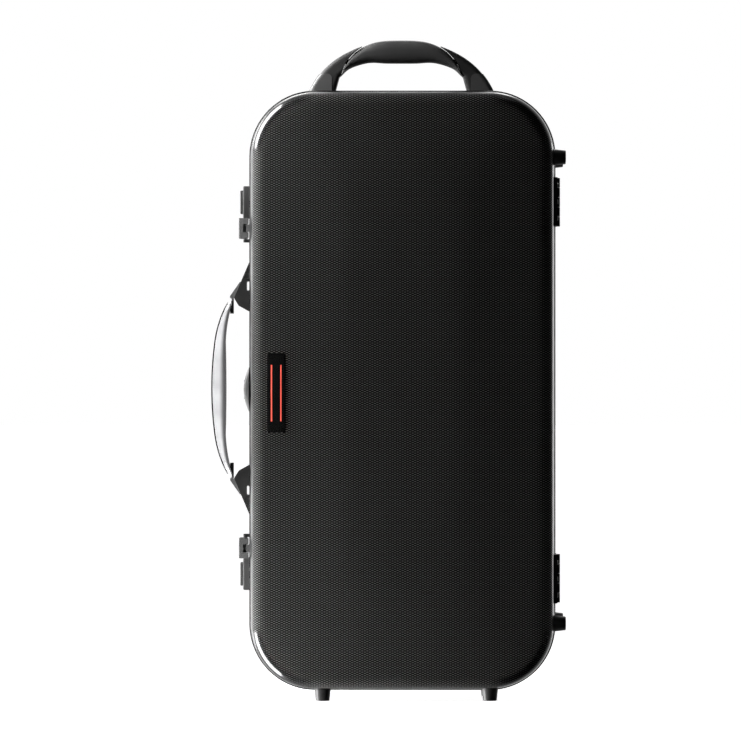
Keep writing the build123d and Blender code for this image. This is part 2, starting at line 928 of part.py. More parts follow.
def latch_plate(side):
    """Latch body on the base: plate, ear for the hasp's pin, and the slider's housing."""
    depth = into(base, latch_start, latch_start + latch_width)
    inner_depth = into(base, latch_start + housing_wall, latch_start + latch_width - housing_wall)
    near, far = housing_start, housing_end
    pin_x = shell_left - hasp_axis_out
    pin_y = seam_y + hasp_axis_depth
    ear = up(side, latch_near, latch_near + latch_ear)
    half_slot = stem_width / 2 + fit_gap
    with BuildPart() as plate:
        span_box(out_left(0, housing_top), depth, up(side, near, far))
        fillet(plate.faces().sort_by(Axis.X)[0].edges(), housing_wall)
        inner = up(side, near + housing_wall, far - housing_wall)
        hollow = out_left(latch_plate_thick, housing_top - housing_wall)
        span_box(hollow, inner_depth, inner, mode=Mode.SUBTRACT)
        span_box(
            out_left(bolt_out, housing_top),
            (bolt_y - half_slot, bolt_y + half_slot),
            up(side, stem_start - fit_gap, stem_end + thumb_travel + fit_gap),
            mode=Mode.SUBTRACT,
        )
        span_box(out_left(0, latch_plate_thick), depth, up(side, latch_near, far))
        span_box(
            out_left(0, hasp_axis_out),
            (pin_y - hasp_knuckle_radius, pin_y + hasp_knuckle_radius),
            ear,
        )
        rod_z(pin_x, pin_y, ear, hasp_knuckle_radius)
        rod_z(
            pin_x, pin_y, up(side, latch_near, near + housing_wall), hasp_pin_radius,
            mode=Mode.SUBTRACT,
        )
        rod_z(
            shell_left - bolt_out, bolt_y, up(side, near, near + housing_wall),
            bolt_radius + running_gap, mode=Mode.SUBTRACT,
        )
    return plate


def latch_slider(side):
    """Thumb slider of a latch, with its stem and the bolt inside the housing."""
    thumb_low = housing_top + fit_gap
    thumb_near = housing_start + thumb_lead
    with BuildPart() as slider:
        span_box(
            out_left(thumb_low, thumb_low + thumb_height),
            (latch_y - thumb_width / 2, latch_y + thumb_width / 2),
            up(side, thumb_near, thumb_near + thumb_length),
        )
        fillet(slider.faces().sort_by(Axis.X)[0].edges(), thumb_height / 3)
        span_box(
            out_left(bolt_out - bolt_radius, thumb_low),
            (bolt_y - stem_width / 2, bolt_y + stem_width / 2),
            up(side, stem_start, stem_end),
        )
        bolt = up(side, housing_start, stem_end + bolt_tail)
        rod_z(shell_left - bolt_out, bolt_y, bolt, bolt_radius)
    return slider


def latch_spring(side):
    """Spring round the bolt's tail, from the slider's stem to the end of the housing."""
    end_gap = spring_wire_radius + running_gap
    low, high = up(side, stem_end + end_gap, housing_end - housing_wall - end_gap)
    with BuildPart() as spring:
        with BuildLine(Plane(origin=(shell_left - bolt_out, bolt_y, low))) as path:
            Helix((high - low) / spring_turns, high - low, spring_radius)
        with BuildSketch(Plane(origin=path.line @ 0, z_dir=path.line % 0)):
            Circle(spring_wire_radius)
        sweep()
    return spring


def hasp(side):
    """Hasp hinged on the base, whose claw reaches over the rim to the keeper on the lid."""
    zs = up(side, hasp_start, hasp_end)
    middle = (hasp_start + hasp_end) / 2
    window = up(side, middle - hasp_window_length / 2, middle + hasp_window_length / 2)
    pin_x = shell_left - hasp_axis_out
    pin_y = seam_y + hasp_axis_depth
    claw = into(lid, hasp_overhang - hasp_thick, hasp_overhang)
    with BuildPart() as piece:
        span_box(
            out_left(hasp_axis_out, hasp_top),
            (claw[0], pin_y + hasp_knuckle_radius),
            zs,
        )
        fillet(piece.edges().filter_by(Axis.Z).sort_by(Axis.X)[:2], hasp_thick / 2)
        under = (claw[0], pin_y - hasp_knuckle_radius)
        span_box(out_left(0, hasp_top - hasp_thick), under, zs, mode=Mode.SUBTRACT)
        span_box(out_left(hasp_claw_low, hasp_top - hasp_thick), claw, zs)
        span_box(out_left(0, hasp_window_top), claw, window, mode=Mode.SUBTRACT)
        rod_z(pin_x, pin_y, zs, hasp_knuckle_radius)
        rib = up(side, hasp_end - hasp_rib_thick, hasp_end)
        span_box(out_left(hasp_rib_low, hasp_top), into(base, hasp_rib_depth, hasp_axis_depth), rib)
        rod_z(pin_x, pin_y, zs, hasp_pin_radius + running_gap, mode=Mode.SUBTRACT)
        rod_z(shell_left - bolt_out, bolt_y, rib, bolt_radius + fit_gap, mode=Mode.SUBTRACT)
    return piece


def hasp_pin(side):
    """Pin of a hasp, from the ear through to the housing's wall."""
    with BuildPart() as pin:
        rod_z(
            shell_left - hasp_axis_out,
            seam_y + hasp_axis_depth,
            up(side, latch_near, housing_start + housing_wall),
            hasp_pin_radius,
        )
    return pin


def keeper(side):
    """Keeper on the lid: a flange and a block that fills the foot of the claw's window."""
    middle = (hasp_start + hasp_end) / 2
    depth = into(lid, latch_start, hasp_overhang)
    block_half = hasp_window_length / 2 - 2 * fit_gap
    with BuildPart() as piece:
        span_box(
            out_left(-wall, keeper_flange),
            depth,
            up(side, middle - keeper_length / 2, middle + keeper_length / 2),
        )
        span_box(
            out_left(-wall, keeper_top), depth, up(side, middle - block_half, middle + block_half)
        )
        add(outer_forms[lid], mode=Mode.SUBTRACT)
    return piece


def lock_dome(low):
    """Round lens-shaped solid of the whole lock, from a height above the wall."""
    centre = (shell_left, seam_y + lock_centre_depth, lock_z)
    with BuildPart() as dome:
        with BuildSketch(Plane(origin=centre, x_dir=(0, 1, 0), z_dir=(0, 0, 1))):
            with BuildLine():
                edge = (lock_radius, lock_low + lock_edge)
                cap = TangentArc((0, lock_top), edge, tangent=(1, 0))
                Polyline(cap @ 1, (lock_radius, low), (0, low), cap @ 0)
            make_face()
        revolve(axis=Axis(centre, (-1, 0, 0)))
    return dome.part


def lock_block(near, far):
    """Block over the whole lock between two depths from the seam, negative into the lid."""
    with BuildPart() as block:
        span_box(
            out_left(0, 2 * lock_top),
            (seam_y + near, seam_y + far),
            (lock_z - 2 * lock_radius, lock_z + 2 * lock_radius),
        )
    return block.part


def lock_pin_hole(gap):
    """Hole for the lock's hinge pin."""
    zs = (lock_z - lock_barrel_half, lock_z + lock_barrel_half)
    pin_y = seam_y + lock_axis_depth
    rod_z(shell_left - lock_axis_out, pin_y, zs, lock_pin_radius + gap, mode=Mode.SUBTRACT)


def lock_plate():
    """Fixed rear part of the lock on the base, with the outer knuckles of its hinge."""
    start = lock_axis_depth + lock_barrel_radius + lock_plate_gap
    x = shell_left - lock_axis_out
    with BuildPart() as plate:
        add(lock_dome(0))
        add(lock_block(start, 2 * lock_radius), mode=Mode.INTERSECT)
        for side in (-1, 1):
            near, far = lock_knuckle_half + fit_gap, lock_barrel_half
            zs = up(side, near, far, lock_z)
            span_box(out_left(0, lock_axis_out), into(base, lock_axis_depth, start), zs)
            rod_z(x, seam_y + lock_axis_depth, zs, lock_barrel_radius)
        lock_pin_hole(0)
    return plate


def lock_flap():
    """Hinged front part of the lock, which reaches over the rim of the lid."""
    end = lock_axis_depth - lock_barrel_radius - lock_flap_gap
    zs = (lock_z - lock_knuckle_half, lock_z + lock_knuckle_half)
    barrel = out_left(lock_axis_out - lock_barrel_radius, lock_axis_out + lock_barrel_radius)
    with BuildPart() as flap:
        add(lock_dome(lock_low))
        add(lock_block(-2 * lock_radius, end), mode=Mode.INTERSECT)
        span_box(barrel, into(base, end, lock_axis_depth), zs)
        rod_z(shell_left - lock_axis_out, seam_y + lock_axis_depth, zs, lock_barrel_radius)
        lock_pin_hole(running_gap)
        rod_x(
            out_left(lock_cylinder_low, 2 * lock_top),
            seam_y + lock_cylinder_depth,
            lock_z,
            lock_cylinder_radius + running_gap,
            mode=Mode.SUBTRACT,
        )
    return flap


def lock_hinge_pin():
    """Hinge pin of the lock's flap."""
    zs = (lock_z - lock_barrel_half, lock_z + lock_barrel_half)
    with BuildPart() as pin:
        rod_z(shell_left - lock_axis_out, seam_y + lock_axis_depth, zs, lock_pin_radius)
    return pin


def lock_cylinder():
    """Turning key cylinder, flush with the flap's dome, with a key slot."""
    y = seam_y + lock_cylinder_depth
    with BuildPart() as cylinder:
        rod_x(out_left(lock_cylinder_low, 2 * lock_top), y, lock_z, lock_cylinder_radius)
        add(lock_dome(0), mode=Mode.INTERSECT)
        span_box(
            out_left(lock_top - key_slot_depth, lock_top),
            (y - key_slot_width / 2, y + key_slot_width / 2),
            (lock_z - key_slot_length / 2, lock_z + key_slot_length / 2),
            mode=Mode.SUBTRACT,
        )
    return cylinder


def lock_strike():
    """Strike plate on the lid under the lock's flap."""
    with BuildPart() as strike:
        span_box(
            out_left(-wall, strike_thick),
            into(lid, latch_start, latch_start + strike_width),
            up(upper, -strike_length / 2, strike_length / 2, lock_z),
        )
        add(outer_forms[lid], mode=Mode.SUBTRACT)
    return strike


def badge_plate():
    """Bare badge plate, bedded on the sloping face of the lid."""
    shoulder = lid_depth - crown_rise
    taper = (shoulder - lid_skirt) * tan(radians(draft_angle))
    slope = crown_rise / (crown_inset - taper)
    tilt = atan(slope)
    place = (
        shell_left + badge_from_edge,
        seam_y - shoulder - slope * (badge_from_edge - taper),
        mid_z + badge_rise,
    )
    face = Plane(origin=place, x_dir=(cos(tilt), -sin(tilt), 0), z_dir=(-sin(tilt), -cos(tilt), 0))
    with BuildPart() as badge:
        with BuildSketch(face.offset(-badge_bed)):
            RectangleRounded(badge_width, badge_length, badge_corner)
        extrude(amount=badge_bed + badge_thick)
        fillet(badge.faces().sort_by(Axis(place, face.z_dir))[-1].edges(), badge_thick / 2)
        add(outer_forms[lid], mode=Mode.SUBTRACT)
    return badge


def save(piece, name):
    """Label a finished piece and write it under its name."""
    piece.part.label = name
    export_step(piece.part, f"parts/{name}.step")


os.makedirs("parts", exist_ok=True)

for half, name in half_names.items():
    save(shell(half), f"{name}_shell")
    save(foot_screws(half), f"{name}_foot_screws")
    save(hinge_rivet_group(half), f"{name}_hinge_rivets")
    for spot, (place, direction) in foot_spots(half).items():
        save(foot(half, place, direction), f"{name}_{spot}_foot")

save(base_rim(), "base_rim")
save(lid_rim(), "lid_rim")
save(rim_seal(), "rim_seal")
save(base_foam(), "base_foam")
save(lid_foam(), "lid_foam")
save(lid_foam_band(), "lid_foam_band")
save(crook_block(), "crook_block")
save(badge_plate(), "badge_plate")

for side, name in side_names.items():
    save(handle_bracket(side), f"{name}_handle_bracket")
    save(bracket_pin(side), f"{name}_bracket_pin")
    save(handle_lug(side), f"{name}_handle_lug")
    save(swing_pin(side), f"{name}_handle_pin")
    save(hinge_leaf(base, side), f"{name}_hinge_base_leaf")
    save(hinge_leaf(lid, side), f"{name}_hinge_lid_leaf")
    save(hinge_pin(side), f"{name}_hinge_pin")
    save(latch_plate(side), f"{name}_latch_plate")
    save(latch_slider(side), f"{name}_latch_slider")
    save(latch_spring(side), f"{name}_latch_spring")
    save(hasp(side), f"{name}_hasp")
    save(hasp_pin(side), f"{name}_hasp_pin")
    save(keeper(side), f"{name}_keeper")

save(handle_strap(), "side_handle_strap")
save(handle_grip(), "side_handle_grip")
save(top_handle_frame(), "top_handle_frame")
save(top_handle_pad(), "top_handle_pad")
save(top_handle_cover(-1), "top_handle_left_cover")
save(top_handle_cover(1), "top_handle_right_cover")
save(lock_plate(), "lock_plate")
save(lock_flap(), "lock_flap")
save(lock_hinge_pin(), "lock_hinge_pin")
save(lock_cylinder(), "lock_cylinder")
save(lock_strike(), "lock_strike")
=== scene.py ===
"""Looks of a hard instrument case: mesh pieces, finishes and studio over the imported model."""

from __future__ import annotations

import logging
from collections.abc import Callable
from dataclasses import dataclass
from enum import Enum
from math import atan2, cos, pi, radians, sin, tan

import bmesh
import bpy
import numpy as np
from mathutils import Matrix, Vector
from mathutils.geometry import delaunay_2d_cdt


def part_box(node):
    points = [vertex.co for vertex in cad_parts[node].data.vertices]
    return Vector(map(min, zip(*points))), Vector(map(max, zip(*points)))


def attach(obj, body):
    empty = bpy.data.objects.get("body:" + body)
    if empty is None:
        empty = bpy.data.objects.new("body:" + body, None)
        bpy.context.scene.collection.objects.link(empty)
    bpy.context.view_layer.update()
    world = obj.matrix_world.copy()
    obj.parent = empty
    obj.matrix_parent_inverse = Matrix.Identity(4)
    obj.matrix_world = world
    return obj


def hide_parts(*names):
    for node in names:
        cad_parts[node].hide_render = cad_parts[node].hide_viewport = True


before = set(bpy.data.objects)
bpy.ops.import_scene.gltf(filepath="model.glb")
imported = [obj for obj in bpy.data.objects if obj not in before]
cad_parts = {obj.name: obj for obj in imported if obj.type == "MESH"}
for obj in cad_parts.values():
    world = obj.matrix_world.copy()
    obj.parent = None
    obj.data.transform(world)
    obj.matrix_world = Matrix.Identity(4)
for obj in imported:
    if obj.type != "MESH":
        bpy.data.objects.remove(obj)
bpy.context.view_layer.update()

log = logging.getLogger("case")
MM = 0.001
MERGE = 1e-6
UNFOLDED = "unfolded"
RELIEF = "relief"

Colour = tuple[float, float, float, float]
Socket = bpy.types.NodeSocket
Node = bpy.types.Node
NodeTree = bpy.types.NodeTree
Material = bpy.types.Material
Piece = bpy.types.Object


class Half(Enum):
    """Half of the case, with the way its depth runs along Y."""

    LID = -1
    BASE = 1

    @property
    def body(self) -> str:
        """Name of the body that this half's pieces ride on."""
        return self.name.lower()


# Profiles and paths


def rounded(
    points: np.ndarray, radii: float | np.ndarray, steps: int = 6, closed: bool = False
) -> np.ndarray:
    """Polyline with each corner replaced by a tangent arc.

    Tangent length = radius x tan(half the turn). The arc's centre lies square to the first tangent
    point, and its points are that spoke turned in even steps through the whole turn.

    Args:
        points: Corners, one row each.
        radii: Radius at every corner, or one for each.
        steps: Spans of each arc.
        closed: Whether the line returns to its start.

    Returns:
        The points of the rounded line.
    """
    points = np.asarray(points, float)
    before, after = np.roll(points, 1, 0), np.roll(points, -1, 0)
    arrive, leave = points - before, after - points
    arrive /= np.linalg.norm(arrive, axis=1, keepdims=True)
    leave /= np.linalg.norm(leave, axis=1, keepdims=True)
    cross = arrive[:, 0] * leave[:, 1] - arrive[:, 1] * leave[:, 0]
    turn = np.arctan2(cross, (arrive * leave).sum(1))
    radius = np.broadcast_to(radii, turn.shape)
    start = points - arrive * (radius * np.tan(np.abs(turn) / 2))[:, None]
    square = np.stack([-arrive[:, 1], arrive[:, 0]], 1) * np.sign(turn)[:, None]
    centre = start + square * radius[:, None]
    spoke = start - centre
    angle = turn[:, None] * np.linspace(0, 1, steps + 1)
    arcs = np.stack(
        [
            centre[:, :1] + np.cos(angle) * spoke[:, :1] - np.sin(angle) * spoke[:, 1:],
            centre[:, 1:] + np.sin(angle) * spoke[:, :1] + np.cos(angle) * spoke[:, 1:],
        ],
        2,
    )
    if closed:
        return arcs.reshape(-1, 2)
    return np.concatenate([points[:1], arcs[1:-1].reshape(-1, 2), points[-1:]])


def smooth_curve(points: np.ndarray, count: int) -> np.ndarray:
    """Catmull-Rom curve through points, in even steps of its parameter.

    Each span is the cubic whose end slopes are half the chord between the neighbours of its ends.

    Args:
        points: Points that the curve passes through.
        count: Points on the result.

    Returns:
        The curve's points.
    """
    points = np.asarray(points, float)
    wide = np.concatenate([2 * points[:1] - points[1:2], points, 2 * points[-1:] - points[-2:-1]])
    place = np.linspace(0, len(points) - 1, count)
    span = np.minimum(place.astype(int), len(points) - 2)
    t = (place - span)[:, None]
    a, b, c, d = (wide[span + shift] for shift in range(4))
    return 0.5 * (
        2 * b + (c - a) * t + (2 * a - 5 * b + 4 * c - d) * t**2 + (3 * b - a - 3 * c + d) * t**3
    )


def smoothstep(value: np.ndarray, low: float, high: float) -> np.ndarray:
    """Smooth rise from 0 at low to 1 at high."""
    t = np.clip((value - low) / (high - low), 0, 1)
    return t * t * (3 - 2 * t)


@dataclass(frozen=True)
class RoundedFrame:
    """Rounded rectangle as one closed path, whose points correspond at any inset.

    A point is its corner's centre plus the radius times its outward direction; along a straight
    side the centre moves evenly and the direction stays.
    """

    half_width: float
    half_height: float
    corner: float
    corner_steps: int = 18
    side_steps: int = 16

    def keys(self) -> tuple[np.ndarray, np.ndarray]:
        """Corner signs and outward directions of the path's points.

        Returns:
            Two arrays of one row for each point.
        """
        turn = np.linspace(0, 1, self.corner_steps + 1)
        run = np.linspace(0, 1, self.side_steps + 1)[1:-1, None]
        corners = np.array([(1, 1), (-1, 1), (-1, -1), (1, -1)], float)
        signs, facing = [], []
        for quarter, here in enumerate(corners):
            angle = (quarter + turn) * pi / 2
            directions = np.stack([np.cos(angle), np.sin(angle)], 1)
            onward = corners[(quarter + 1) % 4] - here
            signs += [np.repeat(here[None], len(turn), 0), here + onward * run]
            facing += [directions, np.repeat(directions[-1:], len(run), 0)]
        return np.concatenate(signs), np.concatenate(facing)

    def rings(self, insets: np.ndarray, corners: np.ndarray | None = None) -> np.ndarray:
        """Paths at several insets.

        Args:
            insets: Inset of each path from the frame.
            corners: Corner radius of each path, or None for the frame's less the inset.

        Returns:
            Array of paths, points and two coordinates.
        """
        signs, facing = self.keys()
        insets = np.atleast_1d(np.asarray(insets, float))
        radii = self.corner - insets if corners is None else np.asarray(corners, float)
        half = np.array([self.half_width, self.half_height]) - insets[:, None] - radii[:, None]
        return signs * half[:, None] + facing * radii[:, None, None]

    def spine(self) -> np.ndarray:
        """Points on the frame's middle line that each path point shrinks to."""
        ring = self.rings([0.0])[0]
        spare = max(self.half_height - self.half_width, 0.0)
        return np.stack([0 * ring[:, 0], np.clip(ring[:, 1], -spare, spare)], 1)


# Meshes


@dataclass
class Patch:
    """Part of a mesh: vertices, faces, and values on the vertices."""

    points: np.ndarray
    faces: np.ndarray
    unfolded: np.ndarray | None = None
    relief: np.ndarray | None = None

    @classmethod
    def grid(
        cls,
        points: np.ndarray,
        unfolded: np.ndarray | None = None,
        relief: np.ndarray | None = None,
        loop_rows: bool = False,
        loop_columns: bool = True,
    ) -> Patch:
        """Quads over an array of rows and columns of points.

        Args:
            points: Rows, columns and three coordinates.
            unfolded: Flat place of each point, for patterns that follow the surface.
            relief: Strength of the moulded texture at each point.
            loop_rows: Whether the last row meets the first.
            loop_columns: Whether the last column meets the first.

        Returns:
            The patch.
        """
        rows, columns = points.shape[:2]
        index = np.arange(rows * columns).reshape(rows, columns)
        down = np.roll(index, -1, 0) if loop_rows else index[1:]
        here = index if loop_rows else index[:-1]
        quads = np.stack([here, np.roll(here, -1, 1), np.roll(down, -1, 1), down], 2)
        if not loop_columns:
            quads = quads[:, :-1]
        flat = None if unfolded is None else unfolded.reshape(-1, 2)
        strength = None if relief is None else relief.reshape(-1)
        return cls(points.reshape(-1, 3), quads.reshape(-1, 4), flat, strength)


def make_piece(name: str, patches: list[Patch], sharp: float = 38.0) -> Piece:
    """Object of one closed mesh from patches that meet at their edges.

    Args:
        name: Name of the piece.
        patches: Its parts, with equal points where they meet.
        sharp: Angle in degrees past which an edge stays sharp.

    Returns:
        The object, linked to the scene.
    """
    starts = np.cumsum([0] + [len(patch.points) for patch in patches])
    mesh = bpy.data.meshes.new(name)
    faces = [face for patch, start in zip(patches, starts) for face in (patch.faces + start).tolist()]
    mesh.from_pydata(np.concatenate([patch.points for patch in patches]), [], faces)
    if patches[0].unfolded is not None:
        corners = np.zeros(len(mesh.loops), np.int32)
        mesh.loops.foreach_get("vertex_index", corners)
        flat = np.concatenate([patch.unfolded for patch in patches])
        mesh.uv_layers.new(name=UNFOLDED).uv.foreach_set("vector", flat[corners].ravel())
    if patches[0].relief is not None:
        strength = np.concatenate([patch.relief for patch in patches])
        mesh.attributes.new(RELIEF, "FLOAT", "POINT").data.foreach_set("value", strength)
    work = bmesh.new()
    work.from_mesh(mesh)
    bmesh.ops.remove_doubles(work, verts=work.verts, dist=MERGE)
    bmesh.ops.recalc_face_normals(work, faces=work.faces)
    work.to_mesh(mesh)
    work.free()
    mesh.shade_smooth()
    mesh.set_sharp_from_angle(angle=radians(sharp))
    piece = bpy.data.objects.new(name, mesh)
    bpy.context.scene.collection.objects.link(piece)
    return piece


def finish_piece(
    piece: Piece, body: str, slot: str, finish: Material, *nodes: str
) -> None:
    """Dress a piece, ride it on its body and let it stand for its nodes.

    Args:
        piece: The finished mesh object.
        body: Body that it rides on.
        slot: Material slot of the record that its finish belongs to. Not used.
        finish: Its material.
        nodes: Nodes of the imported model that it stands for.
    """
    piece.data.materials.append(finish)
    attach(piece, body)
    if nodes:
        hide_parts(*nodes)
    log.info("%s: %d faces on %s", piece.name, len(piece.data.polygons), body)


# Shader nodes


@dataclass
class Tree:
    """Node tree with short ways to place nodes and join them."""

    tree: NodeTree

    def node(self, kind: str, inputs: dict | None = None, **settings: object) -> Node:
        """New node.

        Args:
            kind: Node type, without its common prefix.
            inputs: Sockets or values by input name or number.
            settings: Properties of the node.

        Returns:
            The node.
        """
        node = self.tree.nodes.new("ShaderNode" + kind)
        for key, value in settings.items():
            setattr(node, key, value)
        for key, value in (inputs or {}).items():
            self.set(node.inputs[key], value)
        return node

    def set(self, socket: Socket, value: object) -> None:
        """Join a socket to an output, or give it a value."""
        if isinstance(value, Socket):
            self.tree.links.new(value, socket)
        else:
            socket.default_value = value

    def math(self, operation: str, *values: object) -> Socket:
        """Result of a Math node on values or sockets."""
        return self.node("Math", dict(enumerate(values)), operation=operation).outputs[0]

    def times(self, a: object, b: object) -> Socket:
        """Product of two values or sockets."""
        return self.math("MULTIPLY", a, b)

    def axes(self, place: Socket) -> bpy.types.bpy_prop_collection:
        """The three coordinates of a place."""
        return self.node("SeparateXYZ", {0: place}).outputs

    def seen(self) -> Socket:
        """1 on rays that reach the camera straight or through a clear surface, else 0."""
        rays = self.node("LightPath").outputs
        return self.math("MAXIMUM", rays["Is Camera Ray"], rays["Is Transmission Ray"])

    def mix(self, factor: object, a: object, b: object) -> Socket:
        """Colour between a and b."""
        return self.node("Mix", {0: factor, 6: a, 7: b}, data_type="RGBA").outputs[2]

    def spread(
        self, value: object, low: float, high: float, to_low: object = 0.0, to_high: object = 1.0
    ) -> Socket:
        """Smooth change from to_low to to_high as a value goes from low to high."""
        inputs = {0: value, 1: low, 2: high, 3: to_low, 4: to_high}
        return self.node("MapRange", inputs, interpolation_type="SMOOTHSTEP").outputs[0]

    def noise(self, place: object, scale: object, detail: float = 3.0) -> Socket:
        """Plain noise at a place."""
        inputs = {"Vector": place, "Scale": scale, "Detail": detail, "Roughness": 0.55}
        return self.node("TexNoise", inputs).outputs["Fac"]

    def group(self, name: str, inputs: dict) -> Node:
        """Copy of a shared effect with its own values; each effect is built once."""
        effect = bpy.data.node_groups.get(name) or make_group(name)
        return self.node("Group", inputs, node_tree=effect)


EFFECTS: dict[str, tuple[Callable, tuple[str, ...], dict[str, object]]] = {}


def effect(*outputs: str, **defaults: object) -> Callable:
    """Register a function as a shared effect, with a place as its first input.

    The function takes the group's tree and input sockets, and returns a socket for each output.

    Args:
        outputs: Names of the outputs, all single values.
        defaults: Default of each further input; three numbers make a vector.

    Returns:
        The decorator.
    """

    def register(build: Callable) -> Callable:
        """Note the function under its own name."""
        EFFECTS[build.__name__] = (build, outputs, {"Place": (0.0, 0.0, 0.0), **defaults})
        return build

    return register


def make_group(name: str) -> NodeTree:
    """Node group of a registered effect.

    Args:
        name: Name of the effect.

    Returns:
        The group.
    """
    build, outputs, defaults = EFFECTS[name]
    tree = bpy.data.node_groups.new(name, "ShaderNodeTree")
    for key, value in defaults.items():
        kind = "NodeSocketVector" if isinstance(value, tuple) else "NodeSocketFloat"
        tree.interface.new_socket(name=key, in_out="INPUT", socket_type=kind).default_value = value
    for key in outputs:
        tree.interface.new_socket(name=key, in_out="OUTPUT", socket_type="NodeSocketFloat")
    source, sink = tree.nodes.new("NodeGroupInput"), tree.nodes.new("NodeGroupOutput")
    results = build(Tree(tree), {socket.name: socket for socket in source.outputs})
    for key, result in zip(outputs, results):
        tree.links.new(result, sink.inputs[key])
    return tree


@effect("Height", "Grain", Across=5.34 * MM, Up=2.51 * MM, Fullness=1.6)
def moulded_lattice(tree: Tree, source: dict[str, Socket]) -> tuple[Socket, ...]:
    """Staggered lattice of lens-shaped grains on a flat place.

    Wave = widened and clamped cosine across x cubed cosine up x slow noise.

    Args:
        tree: Tree of the group.
        source: Its input sockets.

    Returns:
        Height and mask of the grains.
    """
    axes = tree.axes(source["Place"])
    waves = []
    for axis, pitch in ((0, "Across"), (1, "Up")):
        turns = tree.math("DIVIDE", axes[axis], source[pitch])
        waves.append(tree.math("COSINE", tree.times(turns, 2 * pi)))
    wide = tree.times(waves[0], source["Fullness"])
    wide = tree.math("MAXIMUM", tree.math("MINIMUM", wide, 1.0), -1.0)
    narrow = tree.times(waves[1], tree.times(waves[1], waves[1]))
    wave = tree.times(wide, narrow)
    blotch = tree.noise(source["Place"], 260.0, 2.0)
    height = tree.times(wave, tree.math("MULTIPLY_ADD", blotch, 0.3, 0.85))
    height_out = tree.math("MULTIPLY_ADD", height, 0.5, 0.5)
    grain_out = tree.spread(height, 0.2, 0.9)
    return height_out, grain_out


@effect("Height", "Patch", Scale=900.0, Patches=22.0)
def fine_grain(tree: Tree, source: dict[str, Socket]) -> tuple[Socket, ...]:
    """Fine irregular grain of moulded plastic or rubber, with slow patches over it."""
    cells = tree.node("TexVoronoi", {"Vector": source["Place"], "Scale": source["Scale"]})
    speckle = tree.noise(source["Place"], tree.times(source["Scale"], 0.6))
    height_out = tree.times(cells.outputs["Distance"], speckle)
    patch = tree.noise(source["Place"], source["Patches"], 4.0)
    patch_out = tree.spread(patch, 0.3, 0.7)
    return height_out, patch_out


@effect("Mask", Radius=0.8 * MM, Breakup=0.6)
def edge_wear(tree: Tree, source: dict[str, Socket]) -> tuple[Socket, ...]:
    """Rubbed outer edges: where a rounded normal leaves the surface's own, broken up by noise."""
    rounded_edge = tree.node("Bevel", {"Radius": source["Radius"]}, samples=6)
    plain = tree.node("NewGeometry").outputs["Normal"]
    same = tree.node("VectorMath", {0: rounded_edge.outputs[0], 1: plain}, operation="DOT_PRODUCT")
    edge = tree.spread(same.outputs["Value"], 0.995, 0.9)
    patch = tree.spread(tree.noise(source["Place"], 140.0, 5.0), 0.35, 0.6)
    keep = tree.math("SUBTRACT", 1.0, tree.times(source["Breakup"], patch))
    mask_out = tree.times(edge, keep)
    return mask_out,


@effect("Mask", Amount=0.1)
def settled_dust(tree: Tree, source: dict[str, Socket]) -> tuple[Socket, ...]:
    """Thin dust on faces that look up, in soft patches."""
    normal = tree.node("NewGeometry").outputs["Normal"]
    rise = tree.axes(normal)[2]
    facing_up = tree.spread(rise, 0.2, 1.0, 0.25, 1.0)
    patch = tree.spread(tree.noise(source["Place"], 48.0, 6.0), 0.4, 0.75)
    amount = tree.times(tree.times(facing_up, patch), source["Amount"])
    mask_out = amount
    return mask_out,


@effect("Height", Squeeze=(1.0, 1.0, 0.03), Scale=1500.0)
def brushed_lines(tree: Tree, source: dict[str, Socket]) -> tuple[Socket, ...]:
    """Fine brushed lines: noise on a place that is squeezed along the lines."""
    squeezed = tree.node(
        "VectorMath", {0: source["Place"], 1: source["Squeeze"]}, operation="MULTIPLY"
    )
    lines = tree.noise(squeezed.outputs[0], source["Scale"], 4.0)
    height_out = lines
    return height_out,


@effect("Height", "Nap", Fibre=1400.0, Nap=26.0)
def pile_nap(tree: Tree, source: dict[str, Socket]) -> tuple[Socket, ...]:
    """Short plush pile: fine fibres, and soft patches where the nap is brushed another way."""
    fibre = tree.noise(source["Place"], source["Fibre"], 2.0)
    tufts = tree.node("TexVoronoi", {"Vector": source["Place"], "Scale": 620.0}).outputs["Distance"]
    height_out = tree.math("ADD", fibre, tufts)
    brushed = tree.noise(source["Place"], source["Nap"], 3.0)
    nap_out = tree.spread(brushed, 0.4, 0.62)
    return height_out, nap_out


# Finishes


DUST: Colour = (0.32, 0.31, 0.29, 1.0)
DUST_ROUGHNESS = 0.6
PATCH_LIFT = 1.35


def grey(level: float) -> Colour:
    """Neutral colour."""
    return (level, level, level, 1.0)


def scaled(colour: Colour, factor: float) -> Colour:
    """Colour times a factor, up to white."""
    return tuple(min(value * factor, 1.0) for value in colour[:3]) + (1.0,)


